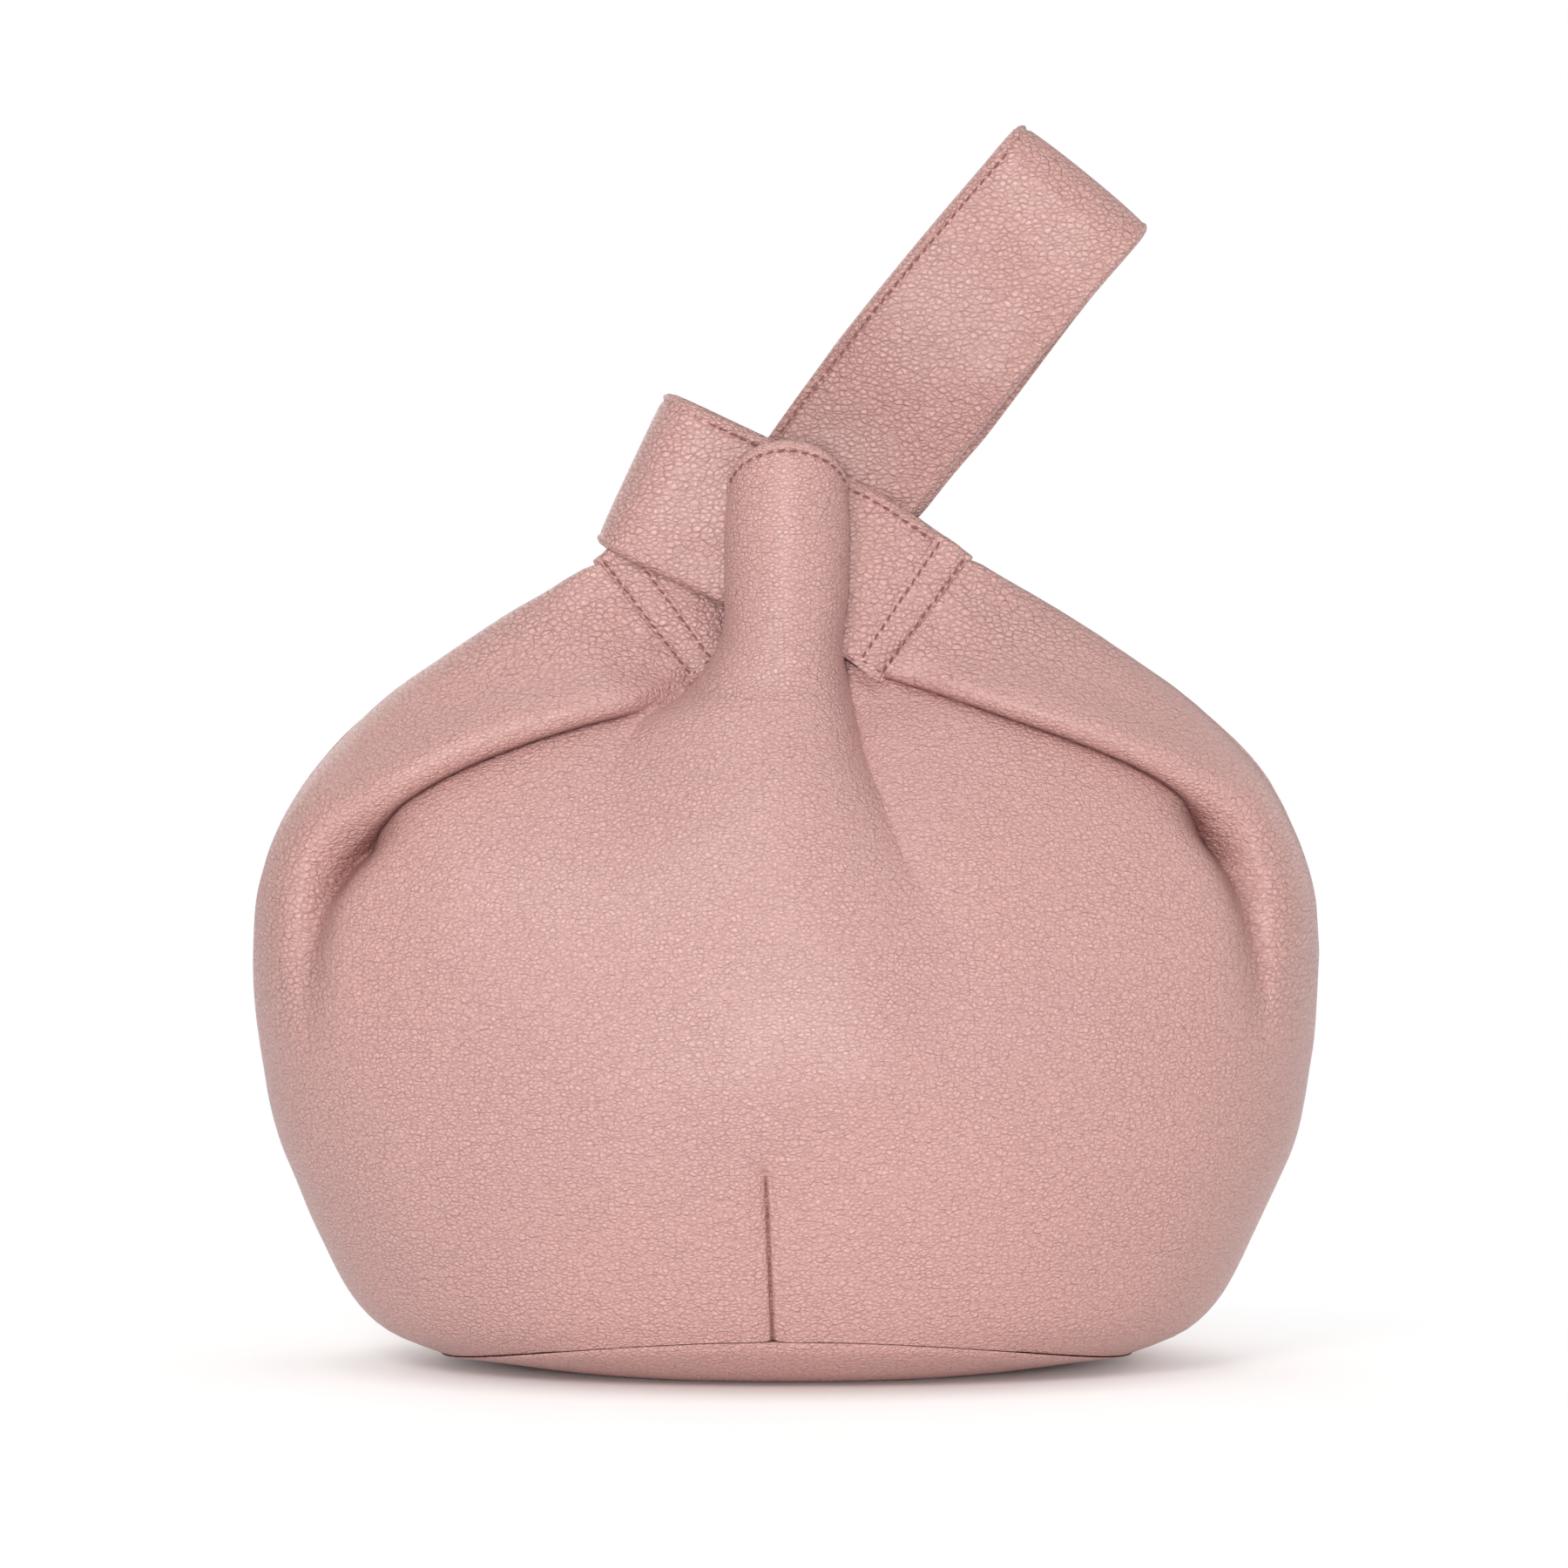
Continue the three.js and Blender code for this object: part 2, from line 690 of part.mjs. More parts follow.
// Thread along the loop's left edge, on its front face, from just past the knot to the tip.
function longLoopThread() {
  const tip = longLoopLength - longLoopFoldRadius;
  const slope = Math.asin((longLoopFoldRadius - neckOuter) / (tip - neckLength));
  const edge = threadInset - strapHalfWidth;
  const startShare = (neckOuter + threadInset) / (tip - neckLength);
  const place = (share, w, rise) => {
    const radius = neckOuter + (longLoopFoldRadius - neckOuter) * share + clearance + rise;
    const centre = neckLength + (tip - neckLength) * share;
    return new THREE.Vector3(w, -Math.cos(slope) * radius, centre - Math.sin(slope) * radius);
  };
  const far = edge + threadWidth;
  const rings = [startShare, 1].map((share) => [
    place(share, edge, 0), place(share, far, 0),
    place(share, far, threadHeight), place(share, edge, threadHeight),
  ]);
  return ringSolid(rings);
}

// Adds one piece to a group, and its twin mirrored through Y where it has one.
function addPiece(group, name, geometry, material) {
  const mesh = new THREE.Mesh(geometry, material);
  mesh.name = name;
  group.add(mesh);
}

function mirrored(geometry) {
  const twin = geometry.clone();
  const position = twin.attributes.position;
  for (let i = 0; i < position.count; i += 1) {
    position.setY(i, -position.getY(i));
  }
  twin.setIndex(Array.from(twin.index.array).reverse());
  return twin;
}

function addTwins(group, frontName, backName, geometry, material) {
  addPiece(group, frontName, geometry, material());
  addPiece(group, backName, mirrored(geometry), material());
}

// The body's wall and base.
function pouch() {
  const group = new THREE.Group();
  const liningOuter = panelThickness + clearance;
  addTwins(group, 'front_panel', 'back_panel', frontLayer(0, panelThickness, true), leather);
  addTwins(
    group, 'front_lining', 'back_lining',
    frontLayer(liningOuter, liningOuter + liningThickness, false), liningCloth,
  );
  const boardBottom = baseThickness + clearance;
  const liningBottom = boardBottom + baseBoardThickness + clearance;
  const stiffener = flatOval(boardBottom, baseBoardThickness, baseProfileShares[0][1]);
  const floorLining = flatOval(liningBottom, baseLiningThickness, baseProfileShares[1][1]);
  addPiece(group, 'base_panel', basePanel(), leather());
  addPiece(group, 'base_board', stiffener, board());
  addPiece(group, 'base_lining', floorLining, liningCloth());
  return group;
}

// The two hem tongues with their facings and edge threads.
function tongues() {
  const group = new THREE.Group();
  addTwins(group, 'front_tongue', 'back_tongue', frontTongue(), leather);
  addTwins(group, 'front_tongue_facing', 'back_tongue_facing', tongueFacing(), leather);
  addTwins(group, 'front_tongue_thread', 'back_tongue_thread', tongueThread(), thread);
  return group;
}

// The short loop, its seam bands and threads.
function shortLoop() {
  const group = new THREE.Group();
  const band = seamBand(shortSeam, shortRun, shortUp, shortDepth, shortSlope);
  const rows = seamThread(shortSeam, shortRun, shortUp, shortDepth, shortSlope);
  addPiece(group, 'short_loop_outer', shortLoopPly(0, outerPly), leather());
  addPiece(group, 'short_loop_inner', shortLoopPly(outerPly + clearance, strapThickness), leather());
  addTwins(group, 'right_seam_band_front', 'right_seam_band_back', band, leather);
  addTwins(group, 'right_seam_thread_front', 'right_seam_thread_back', rows, thread);
  addTwins(group, 'short_loop_thread_front', 'short_loop_thread_back', shortLoopThread(), thread);
  return group;
}

// The long handle: its two root layers, and past the knot the neck and the free loop.
function longHandle() {
  const group = new THREE.Group();
  const band = seamBand(longSeam, rootRun, rootUp, rootDepth, rootSlope);
  const rows = seamThread(longSeam, rootRun, rootUp, rootDepth, rootSlope);
  addTwins(group, 'handle_root_front', 'handle_root_back', handleRoot(), leather);
  addTwins(group, 'left_seam_band_front', 'left_seam_band_back', band, leather);
  addTwins(group, 'left_seam_thread_front', 'left_seam_thread_back', rows, thread);
  const leaning = new THREE.Group();
  leaning.position.copy(knot);
  leaning.rotation.y = lean;
  addTwins(leaning, 'handle_neck_front', 'handle_neck_back', handleNeck(), leather);
  addPiece(leaning, 'long_loop_outer', longLoopPly(0, outerPly), leather());
  addPiece(leaning, 'long_loop_inner', longLoopPly(outerPly + clearance, strapThickness), leather());
  addTwins(leaning, 'long_loop_thread_front', 'long_loop_thread_back', longLoopThread(), thread);
  group.add(leaning);
  return group;
}

const bag = new THREE.Group();
bag.name = 'knot_bag';
bag.add(pouch(), tongues(), shortLoop(), longHandle());

export default bag;
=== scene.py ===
"""Knot bag in pebbled leather: a standing pouch closed by passing its long handle through its short loop.

Lengths in the size tables are millimetres and turn into metres where a mesh is made. The frame is the
model's own: +Z up, -Y towards the viewer, origin on the floor under the middle of the bag.
"""

import logging
import math
from collections.abc import Callable
from dataclasses import dataclass, field
from enum import Enum

import bpy
import numpy as np
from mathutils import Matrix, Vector

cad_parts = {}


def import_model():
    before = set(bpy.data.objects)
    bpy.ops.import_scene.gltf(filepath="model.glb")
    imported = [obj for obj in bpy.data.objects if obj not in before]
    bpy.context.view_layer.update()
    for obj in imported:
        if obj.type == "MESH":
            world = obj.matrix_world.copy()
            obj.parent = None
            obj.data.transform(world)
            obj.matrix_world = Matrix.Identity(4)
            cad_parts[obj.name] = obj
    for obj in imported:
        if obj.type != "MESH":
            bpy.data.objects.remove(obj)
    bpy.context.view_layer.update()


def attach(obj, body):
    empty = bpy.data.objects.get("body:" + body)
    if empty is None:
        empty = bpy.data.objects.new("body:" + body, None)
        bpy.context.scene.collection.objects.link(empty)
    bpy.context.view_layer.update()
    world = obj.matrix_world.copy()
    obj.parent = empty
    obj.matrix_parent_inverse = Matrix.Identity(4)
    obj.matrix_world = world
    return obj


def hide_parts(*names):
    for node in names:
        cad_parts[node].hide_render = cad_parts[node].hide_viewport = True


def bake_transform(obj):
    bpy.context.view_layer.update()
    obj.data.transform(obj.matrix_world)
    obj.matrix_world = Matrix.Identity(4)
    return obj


Array = np.ndarray
MM = 0.001
WHITE = (1.0, 1.0, 1.0)
SHARP_ANGLE = math.radians(50.0)
CLOSING_RING = 1e-3
LOG = logging.getLogger("knot_bag")


class Side(Enum):
    """The two faces of the bag, by the sign that turns a front depth into a Y place."""

    FRONT = -1.0
    BACK = 1.0

    @property
    def word(self) -> str:
        """Name of the face in piece names."""
        return self.name.lower()

    @property
    def mirror(self) -> Array:
        """Factors that turn places of the front into places of this face."""
        return np.array([1.0, -self.value, 1.0])

    @property
    def out(self) -> Array:
        """Direction straight out of this face."""
        return np.array([0.0, self.value, 0.0])


# Curves and tables


def smooth(value: Array, low: float = 0.0, high: float = 1.0) -> Array:
    """Smooth step: 0 below low, 1 above high, t*t*(3-2t) between.

    Args:
        value: places to read.
        low: place of 0.
        high: place of 1.

    Returns:
        The steps, one for each place.
    """
    t = np.clip((np.asarray(value, float) - low) / (high - low), 0.0, 1.0)
    return t * t * (3.0 - 2.0 * t)


def bump(value: Array, width: float) -> Array:
    """Bell of height 1: exp(-(value/width)^2)."""
    return np.exp(-((np.asarray(value, float) / width) ** 2))


def curve(rows: Array, place: Array) -> Array:
    """Smooth reading of a table without overshoot, by cubic pieces with limited slopes.

    Args:
        rows: table of (place, value), places rising.
        place: places to read.

    Returns:
        The values, held at the ends.
    """
    rows = np.asarray(rows, float)
    x, y = rows[:, 0], rows[:, 1]
    h = np.diff(x)
    d = np.diff(y) / h
    m = np.zeros_like(y)
    turning = d[1:] * d[:-1] > 0
    weight_a, weight_b = 2 * h[1:] + h[:-1], h[1:] + 2 * h[:-1]
    slope_a, slope_b = np.where(turning, d[:-1], 1), np.where(turning, d[1:], 1)
    m[1:-1] = np.where(turning, (weight_a + weight_b) / (weight_a / slope_a + weight_b / slope_b), 0.0)
    m[0], m[-1] = d[0], d[-1]
    q = np.clip(np.asarray(place, float), x[0], x[-1])
    i = np.clip(np.searchsorted(x, q, side="right") - 1, 0, len(h) - 1)
    t = (q - x[i]) / h[i]
    a, b = (1 + 2 * t) * (1 - t) ** 2, t * t * (3 - 2 * t)
    c, e = t * (1 - t) ** 2, t * t * (t - 1)
    return a * y[i] + b * y[i + 1] + h[i] * (c * m[i] + e * m[i + 1])


def sided(t: Array, z: Array, left: list, right: list) -> Array:
    """Reads the left table at z where t is negative, and the right one elsewhere."""
    return np.where(t < 0, curve(left, z), curve(right, z))


def ripple(x: Array, z: Array, scale: float, seed: int) -> Array:
    """Slow unevenness between about -1 and 1: a sum of seven sine waves with seeded directions.

    Args:
        x: places across.
        z: places up.
        scale: wave length of the longest wave.
        seed: seed of the directions.

    Returns:
        The heights.
    """
    rng = np.random.default_rng(seed)
    total = np.zeros(np.broadcast(x, z).shape)
    for wave in range(7):
        angle, phase = rng.uniform(0, math.pi), rng.uniform(0, 2 * math.pi)
        k = 2 * math.pi / scale * (1 + 0.35 * wave)
        total += np.sin(k * (x * math.cos(angle) + z * math.sin(angle)) + phase) / (1 + 0.5 * wave)
    return total / 2.6


def unit(vectors: Array) -> Array:
    """The same directions, each at length 1."""
    return vectors / np.maximum(np.linalg.norm(vectors, axis=-1, keepdims=True), 1e-12)


def lengths_along(line: Array) -> Array:
    """Length from a line's first place to each of its places."""
    return np.concatenate([[0.0], np.cumsum(np.linalg.norm(np.diff(line, axis=0), axis=-1))])


def read_line(at: Array, along: Array, line: Array) -> Array:
    """Linear reading of a line at lengths, given the length along to each of its rows."""
    return np.stack([np.interp(at, along, column) for column in line.T], -1)


def standing(flat: Array, y: Array) -> Array:
    """Places in space, from places (x, z) of the front view and their y."""
    return np.stack([flat[..., 0], y, flat[..., 1]], -1)


def ring_faces(rows: int, sides: int) -> Array:
    """Four-sided faces between rings of places, each ring closed on itself."""
    index = np.arange(rows * sides).reshape(rows, sides)
    a, b = index[:-1], index[1:]
    return np.stack([a, b, np.roll(b, -1, 1), np.roll(a, -1, 1)], -1).reshape(-1, 4)


@dataclass
class Polyline:
    """A line in the front view with rounded corners; gives any point's distance, side and place along it."""

    points: list[tuple[float, float]]
    rounds: int = 3
    rounded: Array = field(init=False)

    def __post_init__(self) -> None:
        """Rounds the corners: each round puts two places, at 1/4 and 3/4, on every stretch."""
        self.rounded = np.asarray(self.points, float)
        for _ in range(self.rounds):
            a, b = self.rounded[:-1], self.rounded[1:]
            cut = np.stack([0.75 * a + 0.25 * b, 0.25 * a + 0.75 * b], 1).reshape(-1, 2)
            self.rounded = np.concatenate([self.rounded[:1], cut, self.rounded[-1:]])

    def read(self, x: Array, z: Array) -> tuple[Array, Array, Array, Array]:
        """Nearest place on the line for each point.

        Args:
            x: places across.
            z: places up.

        Returns:
            Signed distance (positive to the left of the line's run), place along it in millimetres,
            and the two parts of the unit direction that points to the positive side.
        """
        p = self.rounded
        run = np.diff(p, axis=0)
        length = np.linalg.norm(run, axis=1)
        way = run / length[:, None]
        dx, dz = x[..., None] - p[:-1, 0], z[..., None] - p[:-1, 1]
        t = np.clip(dx * way[:, 0] + dz * way[:, 1], 0, length)
        distance = np.hypot(dx - t * way[:, 0], dz - t * way[:, 1])
        k = np.argmin(distance, axis=-1)

        def nearest(values: Array) -> Array:
            """Each point's value at its nearest stretch."""
            return np.take_along_axis(values, k[..., None], -1)[..., 0]

        cross = way[k, 0] * nearest(dz) - way[k, 1] * nearest(dx)
        sign = np.where(cross >= 0, 1.0, -1.0)
        return sign * nearest(distance), lengths_along(p)[k] + nearest(t), -way[k, 1], way[k, 0]


# Meshes


def make_mesh(name: str, points: Array, faces: Array, coarse: Callable[[Array], Array] | float = 1.0,
              fold: Array | None = None) -> bpy.types.Object:
    """Puts points and faces, in millimetres, into a smooth-shaded object at the origin.

    Args:
        name: piece name.
        points: (n, 3) places.
        faces: (m, 4) point numbers.
        coarse: size of the leather's grain, 0 fine to 1 coarse, as a number or worked out from the points.
        fold: painted shade, how far the leather's colour is darkened at the first points, in a crease or near
            the knot, 0 to 1.

    Returns:
        The new object.
    """
    mesh = bpy.data.meshes.new(name)
    mesh.vertices.add(len(points))
    mesh.vertices.foreach_set("co", (points * MM).astype(np.float32).ravel())
    mesh.loops.add(faces.size)
    mesh.loops.foreach_set("vertex_index", faces.astype(np.int32).ravel())
    mesh.polygons.add(len(faces))
    mesh.polygons.foreach_set("loop_start", np.arange(0, faces.size, 4, dtype=np.int32))
    mesh.polygons.foreach_set("use_smooth", np.ones(len(faces), bool))
    mesh.update(calc_edges=True)
    values = {"coarse": coarse(points) if callable(coarse) else np.full(len(points), coarse)}
    # the attribute "fold" carries painted shade: how far the leather's colour is darkened
    if fold is not None:
        values["fold"] = np.pad(fold.ravel(), (0, len(points) - fold.size))
    for key, value in values.items():
        mesh.attributes.new(key, "FLOAT", "POINT").data.foreach_set("value", value.astype(np.float32))
    mesh.validate()
    mesh.set_sharp_from_angle(angle=SHARP_ANGLE)
    obj = bpy.data.objects.new(name, mesh)
    bpy.context.scene.collection.objects.link(obj)
    return obj


def joined(parts: list[tuple[Array, Array]]) -> tuple[Array, Array]:
    """Several sets of points and faces as one set."""
    firsts = np.cumsum([0] + [len(points) for points, _ in parts])
    return (np.concatenate([points for points, _ in parts]),
            np.concatenate([faces + first for (_, faces), first in zip(parts, firsts)]))


def closed_sheet(outer: Array, inner: Array, rim_steps: int = 4,
                 flat_rims: tuple[str, ...] = ()) -> tuple[Array, Array]:
    """A sheet of leather or cloth with rounded edges, closed all round.

    Outer and inner face are grids of the same shape. Each free edge is a half round: the middle of the
    two faces plus cos(angle) towards the outer face plus sin(angle) outwards in the sheet.

    Args:
        outer: (rows, columns, 3) places of the face that shows.
        inner: the same for the face behind it.
        rim_steps: faces round an edge.
        flat_rims: edges left flat, among "first", "last", "left" and "right".

    Returns:
        Points and four-sided faces.
    """
    rows, columns = outer.shape[:2]
    index = np.arange(rows * columns).reshape(rows, columns)
    front = np.stack([index[:-1, :-1], index[1:, :-1], index[1:, 1:], index[:-1, 1:]], -1).reshape(-1, 4)
    faces = [front, front[:, ::-1] + rows * columns]
    points = [outer.reshape(-1, 3), inner.reshape(-1, 3)]
    outward = np.zeros((rows, columns, 3))
    for rim, line, beside in (("first", np.s_[0], np.s_[1]), ("last", np.s_[-1], np.s_[-2]),
                              ("left", np.s_[:, 0], np.s_[:, 1]), ("right", np.s_[:, -1], np.s_[:, -2])):
        if rim not in flat_rims:
            outward[line] += unit(outer[line] - outer[beside])
    loop = np.concatenate([index[0, :-1], index[:-1, -1], index[-1, :0:-1], index[:0:-1, 0]])
    middle, reach = (points[0][loop] + points[1][loop]) / 2, (points[0][loop] - points[1][loop]) / 2
    away = outward.reshape(-1, 3)[loop] * np.linalg.norm(reach, axis=1, keepdims=True)
    previous, count = loop, 2 * rows * columns
    for step in range(1, rim_steps + 1):
        current = loop + rows * columns
        if step < rim_steps:
            angle = math.pi * step / rim_steps
            points.append(middle + reach * math.cos(angle) + away * math.sin(angle))
            current = np.arange(count, count + len(loop))
            count += len(loop)
        faces.append(np.stack([previous, current, np.roll(current, -1), np.roll(previous, -1)], -1)[:, ::-1])
        previous = current
    return turned_out(np.concatenate(points), np.concatenate(faces))


def turned_out(points: Array, faces: Array) -> tuple[Array, Array]:
    """A closed mesh with its faces pointing outwards, judged by its signed volume."""
    a, b, c, d = (points[faces[:, k]] for k in range(4))
    volume = np.einsum("ij,ij->i", a, np.cross(b, c)).sum() + np.einsum("ij,ij->i", a, np.cross(c, d)).sum()
    return points, faces[:, ::-1] if volume < 0 else faces


def lofted(rings: Array) -> tuple[Array, Array]:
    """A closed body of (rings, sides, 3), each end drawn together in one small ring at its middle."""
    ends = np.stack([ring.mean(0) + (ring - ring.mean(0)) * CLOSING_RING for ring in (rings[0], rings[-1])])
    grid = np.concatenate([ends[:1], rings, ends[1:]])
    return turned_out(grid.reshape(-1, 3), ring_faces(*grid.shape[:2]))


@dataclass
class StitchRow:
    """A row of hand-sized machine stitches, each a small closed bead."""

    pitch: float = 2.9
    length: float = 2.15
    width: float = 0.55
    height: float = 0.42
    slant: float = 0.14
    sides: int = 6
    rings: int = 5

    def bead(self) -> tuple[Array, Array]:
        """One stitch round the origin: an ellipsoid flattened below, along X, up Z."""
        t = np.linspace(0, math.pi, self.rings + 2)[1:-1]
        around = np.linspace(0, 2 * math.pi, self.sides, endpoint=False)
        x = -np.cos(t)[:, None] * np.ones(self.sides) * self.length / 2
        r = np.sin(t)[:, None] ** 0.6
        y = r * np.cos(around) * self.width / 2
        z = r * np.sin(around) * self.height / 2
        return lofted(np.stack([x, y + x * self.slant, z + self.height * 0.2], -1))

    def sew(self, path: Array, up: Array) -> tuple[Array, Array]:
        """Stitches laid along a path.

        Args:
            path: (n, 3) places, close together.
            up: direction out of the leather, one for the path or one for each place.

        Returns:
            Points and faces of all the stitches.
        """
        along = lengths_along(path)
        count = max(int(along[-1] / self.pitch), 1)
        at = (np.arange(count) + 0.5) * along[-1] / count
        run = unit(read_line(at + 0.2, along, path) - read_line(at - 0.2, along, path))
        out = read_line(at, along, np.broadcast_to(up, path.shape))
        out = unit(out - run * np.einsum("ij,ij->i", out, run)[:, None])
        bead, faces = self.bead()
        points = read_line(at, along, path)[:, None]
        for k, direction in enumerate((run, np.cross(out, run), out)):
            points = points + bead[None, :, k:k + 1] * direction[:, None]
        shifts = np.arange(count)[:, None, None] * len(bead)
        return points.reshape(-1, 3), (faces[None] + shifts).reshape(-1, 4)


# Finishes


class Nodes:
    """Short calls for building the node tree of a material or of the world."""

    def __init__(self, owner: bpy.types.Material | bpy.types.World) -> None:
        """Starts on the owner's own nodes."""
        owner.use_nodes = True
        self.owner = owner
        self.tree = owner.node_tree

    def fill(self, node: bpy.types.Node, inputs: dict[str | int, object]) -> None:
        """Gives a node's inputs numbers, vectors, colours or other nodes' outputs.

        Args:
            node: the node.
            inputs: value of each input, by its name or its number.
        """
        for key, value in inputs.items():
            socket = node.inputs[key]
            if isinstance(value, bpy.types.NodeSocket):
                self.tree.links.new(value, socket)
            else:
                short = socket.type == "RGBA" and len(value) == 3
                socket.default_value = (*value, 1.0) if short else value

    def add(self, kind: str, inputs: dict[str | int, object] | None = None,
            **settings: object) -> bpy.types.Node:
        """A new node with its properties and inputs set; its kind is written without "ShaderNode".

        Args:
            kind: the node's kind.
            inputs: value of each input.
            settings: value of each property.

        Returns:
            The node.
        """
        node = self.tree.nodes.new(f"ShaderNode{kind}")
        for key, value in settings.items():
            setattr(node, key, value)
        self.fill(node, inputs or {})
        return node

    def surface(self, inputs: dict[str | int, object]) -> bpy.types.Material:
        """Fills the material's own shader and hands the material over."""
        self.fill(self.tree.nodes["Principled BSDF"], inputs)
        return self.owner

    def noise(self, vector: bpy.types.NodeSocket, scale: float, detail: float = 2.0,
              roughness: float = 0.5, out: str = "Fac") -> bpy.types.NodeSocket:
        """A noise texture read at a vector.

        Args:
            vector: where it is read.
            scale: its scale.
            detail: number of finer layers.
            roughness: share of the finer layers.
            out: name of the output.

        Returns:
            The output.
        """
        inputs = {"Vector": vector, "Scale": scale, "Detail": detail, "Roughness": roughness}
        return self.add("TexNoise", inputs).outputs[out]

    def bands(self, vector: bpy.types.NodeSocket, direction: str, scale: float,
              distortion: float) -> bpy.types.NodeSocket:
        """A texture of bands across a direction."""
        inputs = {"Vector": vector, "Scale": scale, "Distortion": distortion}
        return self.add("TexWave", inputs, wave_type="BANDS", bands_direction=direction).outputs["Fac"]

    def math(self, operation: str, a: object, b: object = 0.0, clamp: bool = False) -> bpy.types.NodeSocket:
        """One arithmetic step; each side is a socket or a number."""
        return self.add("Math", {0: a, 1: b}, operation=operation, use_clamp=clamp).outputs[0]

    def plus(self, a: object, b: object) -> bpy.types.NodeSocket:
        """The sum of two sides."""
        return self.math("ADD", a, b)

    def less(self, a: object, b: object) -> bpy.types.NodeSocket:
        """The first side less the second."""
        return self.math("SUBTRACT", a, b)

    def times(self, a: object, b: object) -> bpy.types.NodeSocket:
        """The product of two sides."""
        return self.math("MULTIPLY", a, b)

    def remap(self, value: bpy.types.NodeSocket, low: float, high: float, to_low: float = 0.0,
              to_high: float = 1.0) -> bpy.types.NodeSocket:
        """Linear change of range, held at the ends."""
        inputs = {"Value": value, "From Min": low, "From Max": high, "To Min": to_low, "To Max": to_high}
        return self.add("MapRange", inputs).outputs[0]

    def mix(self, factor: object, a: object, b: object) -> bpy.types.NodeSocket:
        """A colour mix; each side is a socket or a colour."""
        return self.add("Mix", {0: factor, 6: a, 7: b}, data_type="RGBA").outputs[2]

    def bump(self, height: bpy.types.NodeSocket, distance: float,
             strength: float = 1.0) -> bpy.types.NodeSocket:
        """A bump of a height."""
        return self.add("Bump", {"Height": height, "Distance": distance, "Strength": strength}).outputs[0]


def linear(red: int, green: int, blue: int) -> tuple[float, float, float]:
    """A written screen colour, 0 to 255, as the shader's linear light."""
    parts = [channel / 255 for channel in (red, green, blue)]
    return tuple(c / 12.92 if c <= 0.04045 else ((c + 0.055) / 1.055) ** 2.4 for c in parts)


